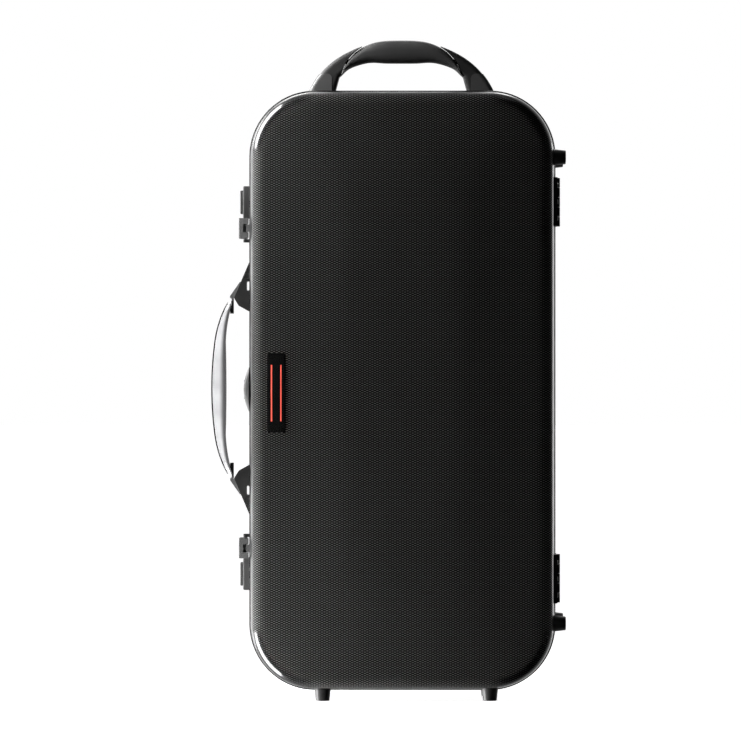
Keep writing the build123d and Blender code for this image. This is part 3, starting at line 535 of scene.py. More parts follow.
@dataclass(frozen=True)
class Finish:
    """Grained solid finish with slow patches, rubbed edges and a little dust."""

    name: str
    colour: Colour
    # Second colour: rubbed edges; on the lattice finish it is also a painted highlight on the grain
    # crowns.
    worn_and_sheen: Colour
    roughness: float = 0.45
    roughness_spread: float = 0.1
    metallic: float = 0.0
    specular: float = 0.5
    coat: float = 0.0
    coat_roughness: float = 0.08
    grain: float = 900.0
    grain_height: float = 0.03 * MM
    wear: float = 0.6
    wear_radius: float = 0.5 * MM
    dust: float = 0.05

    def relief(self, tree: Tree, place: Socket) -> tuple[Socket, Socket]:
        """Height in units of grain_height, and a mask for a second shade.

        Args:
            tree: Tree of the material.
            place: Object coordinates.

        Returns:
            The two sockets.
        """
        effect = tree.group("fine_grain", {"Place": place, "Scale": self.grain})
        return effect.outputs["Height"], effect.outputs["Patch"]

    def gloss(self, tree: Tree) -> object:
        """Weight of the clear coat."""
        return self.coat

    def shade(self, tree: Tree, place: Socket, patch: Socket) -> Socket:
        """Colour before wear and dust: the colour, a little lighter in patches."""
        return tree.mix(patch, self.colour, scaled(self.colour, PATCH_LIFT))

    def build(self) -> Material:
        """The material.

        Returns:
            The material, made anew.
        """
        material = bpy.data.materials.new(self.name)
        material.use_nodes = True
        tree = Tree(material.node_tree)
        shader = material.node_tree.nodes["Principled BSDF"]
        place = tree.node("TexCoord").outputs["Object"]
        height, patch = self.relief(tree, place)
        wear = tree.group("edge_wear", {"Place": place, "Radius": self.wear_radius}).outputs[0]
        rubbed = tree.times(wear, self.wear)
        dust = tree.group("settled_dust", {"Place": place, "Amount": self.dust}).outputs[0]
        colour = tree.mix(rubbed, self.shade(tree, place, patch), self.worn_and_sheen)
        tree.set(shader.inputs["Base Color"], tree.mix(dust, colour, DUST))
        rough = tree.math("MULTIPLY_ADD", patch, self.roughness_spread, self.roughness)
        tree.set(shader.inputs["Roughness"], tree.math("MULTIPLY_ADD", dust, DUST_ROUGHNESS, rough))
        bump = tree.node("Bump", {"Height": height, "Distance": self.grain_height, "Strength": 1.0})
        tree.set(shader.inputs["Normal"], bump.outputs[0])
        shader.inputs["Metallic"].default_value = self.metallic
        shader.inputs["Specular IOR Level"].default_value = self.specular
        tree.set(shader.inputs["Coat Weight"], self.gloss(tree))
        shader.inputs["Coat Roughness"].default_value = self.coat_roughness
        return material


@dataclass(frozen=True)
class LatticeFinish(Finish):
    """Moulded sheet with a raised lattice of grains, stretched smoother over the corners."""

    def relief(self, tree: Tree, place: Socket) -> tuple[Socket, Socket]:
        """Height and grain mask of the lattice, on the unfolded surface, times the relief."""
        flat = tree.node("UVMap", uv_map=UNFOLDED).outputs[0]
        strength = tree.node("Attribute", attribute_name=RELIEF).outputs["Fac"]
        lattice = tree.group("moulded_lattice", {"Place": flat})
        height = tree.times(lattice.outputs["Height"], strength)
        return height, tree.times(lattice.outputs["Grain"], strength)

    def gloss(self, tree: Tree) -> object:
        """Coat only where the lattice fades out."""
        strength = tree.node("Attribute", attribute_name=RELIEF).outputs["Fac"]
        return tree.spread(strength, 0.3, 0.9, self.coat, 0.0)

    def shade(self, tree: Tree, place: Socket, patch: Socket) -> Socket:
        """Black between the grains and a lighter grey on their crowns, a painted highlight where the
        crowns catch the light.
        """
        return tree.mix(patch, self.colour, self.worn_and_sheen)


@dataclass(frozen=True)
class BrushedFinish(Finish):
    """Brushed metal, with lines that run along the case."""

    squeeze: tuple[float, float, float] = (1.0, 1.0, 0.03)

    def relief(self, tree: Tree, place: Socket) -> tuple[Socket, Socket]:
        """Height of the brushed lines, and patches of duller metal."""
        lines = tree.group("brushed_lines", {"Place": place, "Squeeze": self.squeeze})
        patch = tree.group("fine_grain", {"Place": place, "Scale": self.grain}).outputs["Patch"]
        return lines.outputs["Height"], patch


@dataclass(frozen=True)
class PlushFinish(Finish):
    """Plush lining over foam."""

    def relief(self, tree: Tree, place: Socket) -> tuple[Socket, Socket]:
        """Height of the pile, and patches where its nap lies another way."""
        pile = tree.group("pile_nap", {"Place": place})
        return pile.outputs["Height"], pile.outputs["Nap"]


@dataclass(frozen=True)
class LinedFinish(Finish):
    """Glossy plate with two plain thin lines printed along it."""

    lines: Colour = (0.75, 0.1, 0.07, 1.0)
    middle: float = 0.0
    spacing: float = 5.0 * MM
    line_width: float = 0.8 * MM
    half_length: float = 30 * MM
    centre_height: float = 0.0

    def shade(self, tree: Tree, place: Socket, patch: Socket) -> Socket:
        """The plate's colour with the printed lines, by distance from each line's middle."""
        axes = tree.axes(place)
        across = tree.math("ABSOLUTE", tree.math("SUBTRACT", axes[0], self.middle))
        off_line = tree.math("ABSOLUTE", tree.math("SUBTRACT", across, self.spacing))
        on_line = tree.spread(off_line, self.line_width, self.line_width * 0.6)
        along = tree.math("ABSOLUTE", tree.math("SUBTRACT", axes[2], self.centre_height))
        in_length = tree.spread(along, self.half_length, self.half_length - 0.4 * MM)
        return tree.mix(tree.times(on_line, in_length), self.colour, self.lines)


@dataclass(frozen=True)
class PaintedShadeGripFinish(Finish):
    """Satin grip, bright outside, with painted shade: its colour turns grey on the side that faces the
    case.
    """

    outer_edge: float = -187.85 * MM
    middle_height: float = 332.5 * MM
    bow: tuple[float, float] = (0.949, 148.0)
    thickness: float = 13.2 * MM
    thinning: float = 1.39
    # Share of the colour left in the painted shade on the side towards the case.
    painted_shade_share: float = 0.16
    turn: tuple[float, float] = (0.47, 0.97)

    def shade(self, tree: Tree, place: Socket, patch: Socket) -> Socket:
        """Painted shade: colour by the depth under the bowed outer edge, as a share of the thickness
        there.

        With s the squared height from the middle in square metres, the edge lies in by
        bow[0] s + bow[1] s s, and the thickness falls by thinning s. The colour goes over to a
        painted shade grey between the two shares in turn, on a grip whose face is flat.

        Args:
            tree: Tree of the material.
            place: Object coordinates.
            patch: Mask of the slow patches.

        Returns:
            The colour.
        """
        axes = tree.axes(place)
        height = tree.math("SUBTRACT", axes[2], self.middle_height)
        square = tree.times(height, height)
        slope = tree.math("MULTIPLY_ADD", square, self.bow[1], self.bow[0])
        edge = tree.math("MULTIPLY_ADD", square, slope, self.outer_edge)
        thick = tree.math("MULTIPLY_ADD", square, -self.thinning, self.thickness)
        depth = tree.math("DIVIDE", tree.math("SUBTRACT", axes[0], edge), thick)
        # Painted shade: the flat face darkens toward the case as a rounded bar would in the light.
        inner = tree.spread(depth, *self.turn)
        dark = scaled(self.colour, self.painted_shade_share)
        return tree.mix(inner, super().shade(tree, place, patch), dark)


# The shell's second colour, grey(0.14), is a painted highlight on the lattice's grain crowns; its edge
# wear is 0.
SHELL = LatticeFinish(
    "shell_lattice", grey(0.0004), grey(0.14), roughness=0.34, roughness_spread=0.0, specular=0.12,
    coat=1.0, coat_roughness=0.11, grain_height=0.16 * MM, wear=0.0, dust=0.002,
)
RIM = Finish(
    "rim_satin", grey(0.004), grey(0.03), roughness=0.2, grain_height=0.01 * MM, wear=0.2,
    dust=0.004,
)
FINISHES: dict[str, Finish] = {
    "shell": SHELL,
    "rim": RIM,
    "seal": Finish("seal_rubber", grey(0.012), grey(0.03), roughness=0.6, wear=0.2),
    "lining": PlushFinish(
        "plush_lining", (0.03, 0.03, 0.034, 1.0), (0.07, 0.07, 0.078, 1.0), roughness=0.9,
        roughness_spread=0.08, specular=0.2, grain_height=0.5 * MM, wear=0.0, dust=0.02,
    ),
    "foot_rubber": Finish(
        "foot_rubber_grain", grey(0.008), grey(0.04), roughness=0.36, grain_height=0.02 * MM, wear=0.3
    ),
    "bright_steel": BrushedFinish(
        "bright_steel_brushed", grey(0.62), grey(0.8), roughness=0.26, metallic=1.0,
        grain_height=0.008 * MM, dust=0.03,
    ),
    "grey_metal": Finish(
        "cast_grey_metal", grey(0.3), grey(0.55), roughness=0.38, metallic=0.9,
        grain_height=0.02 * MM, wear=0.7,
    ),
    "bracket_plastic": Finish(
        "bracket_grain", grey(0.006), grey(0.1), roughness=0.5, grain=1300.0,
        grain_height=0.05 * MM, wear=0.75, wear_radius=0.9 * MM,
    ),
    "strap_rubber": Finish(
        "strap_grain", grey(0.004), grey(0.03), roughness=0.42, grain_height=0.02 * MM, wear=0.05
    ),
    "silver_grip": PaintedShadeGripFinish(
        "silver_satin_painted_shade", (0.3, 0.3, 0.306, 1.0), (0.36, 0.36, 0.367, 1.0), roughness=0.34,
        metallic=0.25, grain_height=0.01 * MM, wear=0.05, dust=0.02,
    ),
    "soft_grip": Finish(
        "soft_grip_grain", grey(0.018), grey(0.05), roughness=0.55, grain=1500.0,
        grain_height=0.09 * MM, wear=0.2, wear_radius=1.2 * MM,
    ),
    "handle_plastic": Finish(
        "handle_satin", grey(0.012), grey(0.05), roughness=0.42, specular=0.3, grain=1700.0,
        grain_height=0.02 * MM, wear=0.15, wear_radius=0.8 * MM,
    ),
    "black_metal": Finish(
        "black_lacquered_metal", grey(0.006), grey(0.1), roughness=0.3, metallic=0.2,
        grain_height=0.01 * MM, wear=0.2,
    ),
    "grey_plastic": Finish(
        "grey_moulding", grey(0.035), grey(0.12), roughness=0.42, grain=1200.0,
        grain_height=0.03 * MM, wear=0.5,
    ),
    "latch_plastic": Finish(
        "latch_moulding", grey(0.016), grey(0.1), roughness=0.4, grain=1200.0,
        grain_height=0.03 * MM, wear=0.6,
    ),
    "dark_steel": BrushedFinish(
        "dark_steel_brushed", grey(0.06), grey(0.3), roughness=0.33, metallic=0.85,
        grain_height=0.01 * MM, wear=0.6,
    ),
    "handle_cover": Finish(
        "handle_cover_satin", grey(0.03), grey(0.08), roughness=0.3, grain=1700.0,
        grain_height=0.02 * MM, wear=0.15,
    ),
    "lock_metal": BrushedFinish(
        "lock_satin", grey(0.05), grey(0.25), roughness=0.3, metallic=0.8,
        grain_height=0.008 * MM, wear=0.5, squeeze=(1.0, 0.05, 1.0),
    ),
}


# Case halves


HIP_SHARES = (0.04, 0.1, 0.2, 0.35, 0.5, 0.65, 0.8, 0.9, 0.96, 1.0)
CROWN_SHARES = (0.03, 0.1, 0.3, 0.55, 0.8, 1.0)


@dataclass(frozen=True)
class CaseForm:
    """Sizes that both halves share, and the way from flat rings to places in space."""

    centre_x: float
    centre_z: float
    seam_y: float
    half_width: float
    half_height: float
    lid_depth: float
    base_depth: float
    corner: float = 68.8 * MM
    wall: float = 3.0 * MM
    draft: float = radians(4.5)
    edge_radius: float = 14.0 * MM
    crown_rise: float = 5.0 * MM
    crown_inset: float = 101.0 * MM
    crown_corner: float = 10.0 * MM
    shell_start: float = 2.4 * MM
    lid_skirt: float = 10.0 * MM
    base_skirt: float = 38.0 * MM
    skirt_round: float = 2.0 * MM
    relief_start: float = 6.0 * MM
    corner_smoothing: float = 0.9

    @classmethod
    def from_frame(cls) -> CaseForm:
        """The case as packed, read from the boxes of its two shells."""
        low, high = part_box("base_shell")
        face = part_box("lid_shell")[0].y
        seam = low.y - cls.shell_start
        return cls(
            centre_x=(low.x + high.x) / 2,
            centre_z=(low.z + high.z) / 2,
            seam_y=seam,
            half_width=(high.x - low.x) / 2,
            half_height=(high.z - low.z) / 2,
            lid_depth=seam - face,
            base_depth=high.y - seam,
        )

    @property
    def outline(self) -> RoundedFrame:
        """Outline of the shells."""
        return RoundedFrame(self.half_width, self.half_height, self.corner)

    def depth(self, half: Half) -> float:
        """Depth of a half from the seam to its face."""
        return self.lid_depth if half is Half.LID else self.base_depth

    def skirt(self, half: Half) -> float:
        """Depth at which a half's wall begins to lean in."""
        return self.lid_skirt if half is Half.LID else self.base_skirt

    def lift(self, flat: np.ndarray, depths: np.ndarray, half: Half) -> np.ndarray:
        """Flat rings as places in space.

        Args:
            flat: Rings of points across and up from the case's middle.
            depths: Depth of each ring, or of each point, from the seam.
            half: Half that the depths run into.

        Returns:
            Array of rings, points and three coordinates.
        """
        depths = np.asarray(depths, float)
        deep = depths[:, None] if depths.ndim == 1 else depths
        y = self.seam_y + half.value * np.broadcast_to(deep, flat.shape[:-1])
        return np.stack([self.centre_x + flat[..., 0], y, self.centre_z + flat[..., 1]], -1)

    def tub(
        self, half: Half, inset: float, start: float
    ) -> tuple[np.ndarray, np.ndarray, np.ndarray]:
        """Rings down one side of a tub: wall, rounded shoulder, hipped face, flat crown.

        The wall and shoulder are the outline at the insets of a rounded profile. The face runs
        straight from the shoulder's last ring to the crown's ring, and the crown shrinks to its
        middle line. The flat place of a point is its own place on the face, and past the shoulder
        it goes on along the outward direction by the profile's length.

        Args:
            half: Half of the case.
            inset: Inset of the wall and the crown from the shell's outer surface.
            start: Depth of the first ring.

        Returns:
            Places, flat places and relief strengths of the rings.
        """
        bottom = self.depth(half) - inset
        shoulder = bottom - self.crown_rise
        taper = (shoulder - self.skirt(half)) * tan(self.draft)
        crown = RoundedFrame(
            self.half_width - self.crown_inset - inset,
            self.half_height - self.crown_inset - inset,
            self.crown_corner,
        )
        turns = [(0, start), (0, self.skirt(half)), (taper, shoulder), (self.crown_inset, bottom)]
        radii = np.array([0, self.skirt_round, self.edge_radius - inset, 0])
        line = rounded(np.array(turns) + (inset, 0), radii, 10)[:-1]
        sides = self.outline.rings(line[:, 0])
        last, top = sides[-1], crown.rings([0.0])[0]
        along = np.array(HIP_SHARES)
        hips = last + (top - last) * along[:, None, None]
        hip_depths = line[-1, 1] + (bottom - line[-1, 1]) * along
        inward = np.array(CROWN_SHARES)
        crowns = top + (crown.spine() - top) * inward[:, None, None]
        flat = np.concatenate([sides, hips, crowns])
        depths = np.concatenate([line[:, 1], hip_depths, np.full(len(inward), bottom)])
        facing = self.outline.keys()[1]
        length = np.append(np.cumsum(np.linalg.norm(np.diff(line[::-1], axis=0), axis=1))[::-1], 0)
        unfolded = flat.copy()
        unfolded[: len(line)] = last + facing * length[:, None, None]
        cornered = np.sqrt(np.abs(2 * facing[:, 0] * facing[:, 1]))
        outer = np.append(smoothstep(length, 0, self.relief_start), np.zeros(len(flat) - len(line)))
        relief = 1 - self.corner_smoothing * cornered * outer[:, None]
        return self.lift(flat, depths, half), unfolded, relief


@dataclass
class CaseShell:
    """Moulded half shell: a tub of even wall, open at the rim."""

    form: CaseForm
    half: Half

    def mesh(self) -> Piece:
        """Outer tub from its middle to the rim edge, then the inner tub back to its middle."""
        form, half = self.form, self.half
        outer = form.tub(half, 0.0, form.shell_start)
        inner = form.tub(half, form.wall, form.shell_start)
        rows = [np.concatenate([far[::-1], near]) for far, near in zip(outer, inner)]
        rows[2][len(outer[2]) :] = 0
        return make_piece(f"{half.body}_shell_moulding", [Patch.grid(*rows)], sharp=60)

    def make(self, finish: Material) -> None:
        """Build and dress the shell."""
        body = self.half.body
        finish_piece(self.mesh(), body, "shell", finish, f"{body}_shell")


@dataclass
class RimProfiles:
    """Rim of each half and the seal between them, as sections carried round the outline."""

    form: CaseForm
    proud: float = 1.2 * MM
    gap: float = 0.4 * MM
    lip: float = 9.4 * MM
    bridge: float = 2.4 * MM
    bridge_in: float = 3.0 * MM
    tongue_in: float = 5.0 * MM
    tongue: float = 3.0 * MM
    tongue_thick: float = 1.2 * MM
    seal_start: float = 3.3 * MM
    seal_height: float = 3.0 * MM
    lip_round: float = 1.0 * MM
    inner_round: float = 0.15 * MM

    def carry(self, name: str, half: Half, section: list, radii: list) -> Piece:
        """Closed section of insets and depths, rounded and carried round the outline.

        Args:
            name: Name of the piece.
            half: Half that the depths run into.
            section: Corners of the section.
            radii: Radius at each corner.

        Returns:
            The piece.
        """
        line = rounded(np.array(section), np.array(radii), 4, closed=True)
        rings = self.form.outline.rings(line[:, 0])
        points = self.form.lift(rings, line[:, 1], half)
        return make_piece(name, [Patch.grid(points, loop_rows=True)])

    def lip_section(self) -> list[tuple[float, float]]:
        """Corners that both rims share, from the outer edge at the seam round the lip."""
        return [(-self.proud, self.gap), (-self.proud, self.lip), (0, self.lip), (0, self.bridge)]

    def make(self, finish: Material, rubber: Material) -> None:
        """Build and dress both rims and the seal."""
        soft, crisp = self.lip_round, self.inner_round
        lip = [crisp, soft, crisp, crisp]
        tail = [(self.bridge_in, self.bridge), (self.bridge_in, self.gap)]
        lid = self.carry("lid_rim_profile", Half.LID, self.lip_section() + tail, lip + [crisp] * 2)
        finish_piece(lid, "lid", "rim", finish, "lid_rim")
        inner = self.tongue_in - self.tongue_thick
        tail = [
            (self.tongue_in, self.bridge), (self.tongue_in, -self.tongue), (inner, -self.tongue),
            (inner, self.gap),
        ]
        base = self.carry(
            "base_rim_profile", Half.BASE, self.lip_section() + tail, lip + [crisp] * 4
        )
        finish_piece(base, "base", "rim", finish, "base_rim")
        near, far = self.seal_start, self.seal_start + self.seal_height
        wall = self.form.wall
        section = [(wall, near), (wall, far), (self.tongue_in, far), (self.tongue_in, near)]
        seal = self.carry("rim_seal_strip", Half.LID, section, [crisp, crisp, soft / 2, soft / 2])
        finish_piece(seal, "lid", "seal", rubber, "rim_seal")


# Linings


@dataclass
class Pocket:
    """Rounded pocket in the base's foam."""

    across: float
    width: float
    up: float
    length: float
    depth: float
    corner: float = 14.0 * MM
    mouth: float = 3.2 * MM
    floor_radius: float = 7.0 * MM
    floor_gap: float = 1.0 * MM

    @property
    def frame(self) -> RoundedFrame:
        """Outline of the pocket's wall."""
        return RoundedFrame(self.width / 2, self.length / 2, self.corner, 8, 10)

    def flat_rings(self, start: float) -> tuple[np.ndarray, np.ndarray]:
        """Rings from the mouth's roll down the wall to the middle of the floor.

        Args:
            start: Depth of the deck round the pocket.

        Returns:
            Flat rings and their depths.
        """
        deep = start + self.depth
        turns = [(-self.mouth, start), (0, start), (0, deep), (self.corner, deep)]
        radii = np.array([0, self.mouth, self.floor_radius, 0])
        line = rounded(np.array(turns), radii, 6)
        line[-1, 0] = self.corner - self.floor_gap
        sides = self.frame.rings(line[:, 0])
        inward = np.linspace(0, 1, 6)[1:]
        floor = sides[-1] + (self.frame.spine() - sides[-1]) * inward[:, None, None]
        flat = np.concatenate([sides, floor]) + (self.across, self.up)
        return flat, np.concatenate([line[:, 1], np.full(len(inward), line[-1, 1])])

    def holds(self, points: np.ndarray) -> np.ndarray:
        """Whether each flat point lies in the pocket's mouth, by distance to its rounded frame."""
        half = np.array([self.width, self.length]) / 2 - self.corner
        off = np.maximum(np.abs(points - (self.across, self.up)) - half, 0)
        return np.linalg.norm(off, axis=1) < self.corner + self.mouth - 0.01 * MM


@dataclass
class Linings:
    """Plush-covered foam: the fitted base, the lined lid, and the block for the crooks."""

    form: CaseForm
    inset: float = 3.3 * MM
    base_start: float = 2.7 * MM
    lid_start: float = 6.6 * MM
    side: float = 14.0 * MM
    floor: float = 12.0 * MM
    roll: float = 4.5 * MM
    block_width: float = 64.0 * MM
    block_length: float = 350.0 * MM
    block_height: float = 22.0 * MM
    block_corner: float = 8.0 * MM
    groove_radius: float = 7.0 * MM
    groove_spacing: float = 28.0 * MM
    groove_margin: float = 12.0 * MM
    groove_fade: float = 5.0 * MM
    block_round: float = 3.0 * MM
    deck_step: float = 9.0 * MM
    unevenness: float = 0.45 * MM
    wave: tuple[float, float] = (19.0 * MM, 23.0 * MM)
    pockets: tuple[Pocket, ...] = tuple(
        Pocket(*(MM * size for size in sizes))
        for sizes in (
            (-112.0, 68.0, 88.0, 350.0, 62.0),
            (-112.0, 68.0, -186.0, 166.0, 62.0),
            (-44.0, 48.0, 0.0, 612.0, 58.0),
            (19.0, 58.0, -48.0, 516.0, 58.0),
            (102.0, 88.0, -54.0, 452.0, 72.0),
            (102.0, 88.0, 230.0, 84.0, 62.0),
        )
    )

    def deck(self, edge: np.ndarray, mouths: list[np.ndarray]) -> Patch:
        """Flat deck between its edge and the pockets' mouths.

        The points of the edge, of the mouths and of an even grid between them are joined by a
        Delaunay triangulation, and the triangles inside a mouth are left out.

        Args:
            edge: Ring at the deck's edge.
            mouths: First ring of each pocket.

        Returns:
            The patch.
        """
        step = self.deck_step
        xs = np.arange(-self.form.half_width, self.form.half_width, step)
        zs = np.arange(-self.form.half_height, self.form.half_height, step)
        grid = np.stack(np.meshgrid(xs, zs), -1).reshape(-1, 2)
        signs = np.abs(grid) - np.abs(edge).max(0) + self.form.corner
        inside = np.linalg.norm(np.maximum(signs, 0), axis=1) < self.form.corner - step / 2
        for pocket in self.pockets:
            wide = Pocket(pocket.across, pocket.width + step, pocket.up, pocket.length + step, 0)
            inside &= ~wide.holds(grid)
        points = np.concatenate([edge, *mouths, grid[inside]])
        places, _, triangles, *_ = delaunay_2d_cdt(
            [Vector(point) for point in points], [], [], 0, MERGE / 10
        )
        flat = np.array([tuple(place) for place in places])
        faces = np.array([face for face in triangles if len(face) == 3])
        middles = flat[faces].mean(1)
        for pocket in self.pockets:
            keep = ~pocket.holds(middles)
            faces, middles = faces[keep], middles[keep]
        points = self.form.lift(flat[None], np.array([self.base_start]), Half.BASE)[0]
        return Patch(points, faces)

    def base_fitting(self) -> Piece:
        """Base foam: its outer tub, the deck, and a pocket for each part of the instrument."""
        form, half = self.form, Half.BASE
        places, _, _ = form.tub(half, self.inset, self.base_start)
        edge = form.outline.rings([self.inset])[0]
        rings = [pocket.flat_rings(self.base_start) for pocket in self.pockets]
        patches = [Patch.grid(places), self.deck(edge, [flat[0] for flat, _ in rings])]
        patches += [Patch.grid(form.lift(flat, depths, half)) for flat, depths in rings]
        return make_piece("base_fitted_lining", patches, sharp=70)

    def lid_lining(self) -> Piece:
        """Lid foam: its outer tub, a rolled top edge, the inner side and a softly uneven floor."""
        form, half = self.form, Half.LID
        places, _, _ = form.tub(half, self.inset, self.lid_start)
        floor = form.lid_depth - self.inset - self.floor
        inner = self.inset + self.side
        turns = [(self.inset, self.lid_start), (inner, self.lid_start), (inner, floor)]
        turns.append((inner + 2 * self.side, floor))
        line = rounded(np.array(turns), np.array([0, self.roll, 2 * self.roll, 0]), 8)
        sides = form.outline.rings(line[:, 0])
        inward = np.linspace(0, 1, 22)[1:]
        floors = sides[-1] * (1 - inward[:, None, None])
        soft = self.unevenness * np.sin(floors / self.wave).prod(-1)
        fade = np.sin(inward * pi)[:, None]
        flat = np.concatenate([sides, floors])
        depths = np.concatenate(
            [np.repeat(line[:, 1:], sides.shape[1], 1), floor + soft * fade]
        )
        inside = form.lift(flat, depths, half)
        return make_piece(
            "lid_plush_lining", [Patch.grid(np.concatenate([places[::-1], inside]))], sharp=70
        )

    def crook_rest(self) -> Piece:
        """Block with two long grooves.

        Across the block each section is a rounded box whose top sinks by the circle of a groove.
        Along it, the grooves fade in past their margin and the ends round off in plan.

        Returns:
            The piece.
        """
        form = self.form
        floor = form.lid_depth - self.inset - self.floor
        half_width, half_length = self.block_width / 2, self.block_length / 2
        ends = np.array([0, 0.004, 0.02, 0.06, 0.14, 0.28, 0.5, 0.75, 1.0]) * self.block_corner
        middle = np.linspace(self.block_corner, self.block_length - self.block_corner, 160)
        along = np.concatenate([ends[:-1], middle, self.block_length - ends[:-1][::-1]])
        from_end = np.minimum(along, self.block_length - along)
        short = np.maximum(self.block_corner - from_end, 0)
        pull = self.block_corner - np.sqrt(self.block_corner**2 - short**2)
        groove = smoothstep(from_end, self.groove_margin, self.groove_margin + self.groove_fade)
        width = half_width - pull
        top = np.linspace(-1, 1, 97)
        under = top[::-12][1:-1]
        side_rise = np.array([0.0, 0.4, 0.8])
        across = np.concatenate([[-1.0] * 3, top, [1.0] * 3, under])
        rise = np.concatenate([side_rise, np.ones_like(top), side_rise[::-1], np.zeros_like(under)])
        flat_x = width[:, None] * across
        dip = np.zeros_like(flat_x)
        for side in (-1, 1):
            off = flat_x - side * self.groove_spacing / 2
            dip = np.maximum(dip, np.sqrt(np.maximum(self.groove_radius**2 - off**2, 0)))
        edge = np.maximum(np.abs(flat_x) - width[:, None] + self.block_round, 0)
        crest = self.block_round - np.sqrt(np.maximum(self.block_round**2 - edge**2, 0))
        drop = np.where(rise == 1, dip * groove[:, None] + crest, 0)
        depths = floor - self.block_height * rise + drop
        flat = np.stack([flat_x, np.repeat((along - half_length)[:, None], len(across), 1)], -1)
        points = form.lift(flat, depths, Half.LID)
        caps = [points[:1].mean(1, keepdims=True), points[-1:].mean(1, keepdims=True)]
        closed = [np.repeat(cap, len(across), 1) for cap in caps]
        rows = np.concatenate([closed[0], points, closed[1]])
        return make_piece("crook_rest_block", [Patch.grid(rows)], sharp=60)

    def make(self, finish: Material) -> None:
        """Build and dress the three linings."""
        for piece, body, nodes in (
            (self.base_fitting(), "base", ("base_foam",)),
            (self.lid_lining(), "lid", ("lid_foam", "lid_foam_band")),
            (self.crook_rest(), "lid", ("crook_block",)),
        ):
            finish_piece(piece, body, "lining", finish, *nodes)


# Handles


@dataclass
class TopPad:
    """Soft pad round the middle of the top handle's arch."""

    shift: float = -1.0 * MM
    rim_proud: float = 1.2 * MM
    width: float = 28.0 * MM
    outer_keys: tuple[tuple[float, float], ...] = (
        (0.0, 55.2), (14.0, 54.9), (26.0, 53.5), (36.0, 50.4), (44.0, 46.2), (52.0, 39.8),
        (60.0, 29.0), (65.0, 16.6),
    )
    inner_keys: tuple[tuple[float, float], ...] = (
        (0.0, 30.4), (16.0, 30.5), (35.0, 31.0), (54.5, 25.2), (65.0, 16.6),
    )
    squareness: float = 2.5
    end_power: int = 40
    end_width: float = 0.86

    def edges(self, count: int) -> tuple[np.ndarray, np.ndarray]:
        """Outer parting line and inner curve of the pad, in step, the same on both sides.

        Args:
            count: Points on each.

        Returns:
            Two curves of places across and up from the rim.
        """
        curves = []
        for keys in (self.outer_keys, self.inner_keys):
            right = np.array(keys) * MM
            left = right[:0:-1] * (-1, 1)
            curves.append(smooth_curve(np.concatenate([left, right]), count))
        return curves[0], curves[1]

    def mesh(self, form: CaseForm) -> Piece:
        """Closed pad: superellipse sections between the two curves, fullest in the middle.

        Section = middle + half gap x signed power of cosine + half width x signed power of sine,
        with the power 2 over the squareness.

        Args:
            form: Sizes of the case.

        Returns:
            The piece.
        """
        outer, inner = self.edges(150)
        angle = np.linspace(0, 2 * pi, 72, endpoint=False)
        power = 2 / self.squareness
        up = np.sign(np.cos(angle)) * np.abs(np.cos(angle)) ** power
        across = np.sign(np.sin(angle)) * np.abs(np.sin(angle)) ** power
        middle, gap = (outer + inner) / 2, (outer - inner) / 2
        ends = np.sqrt(np.clip(1 - np.linspace(-1, 1, len(outer)) ** self.end_power, 0, 1))
        flat = middle[:, None] + gap[:, None] * up[:, None] * ends[:, None, None]
        y_middle = (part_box("top_handle_pad")[0].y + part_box("top_handle_pad")[1].y) / 2
        narrowing = self.end_width + (1 - self.end_width) * ends[:, None]
        y = y_middle + self.width / 2 * across * narrowing * ends[:, None] ** 0.5
        x = form.centre_x + self.shift + flat[..., 0]
        z = form.centre_z + form.half_height + self.rim_proud + flat[..., 1]
        return make_piece("top_handle_soft_pad", [Patch.grid(np.stack([x, y, z], -1))], sharp=80)

    def make(self, form: CaseForm, finish: Material) -> None:
        """Build and dress the pad."""
        piece = self.mesh(form)
        finish_piece(piece, "base", "soft_grip", finish, "top_handle_pad")


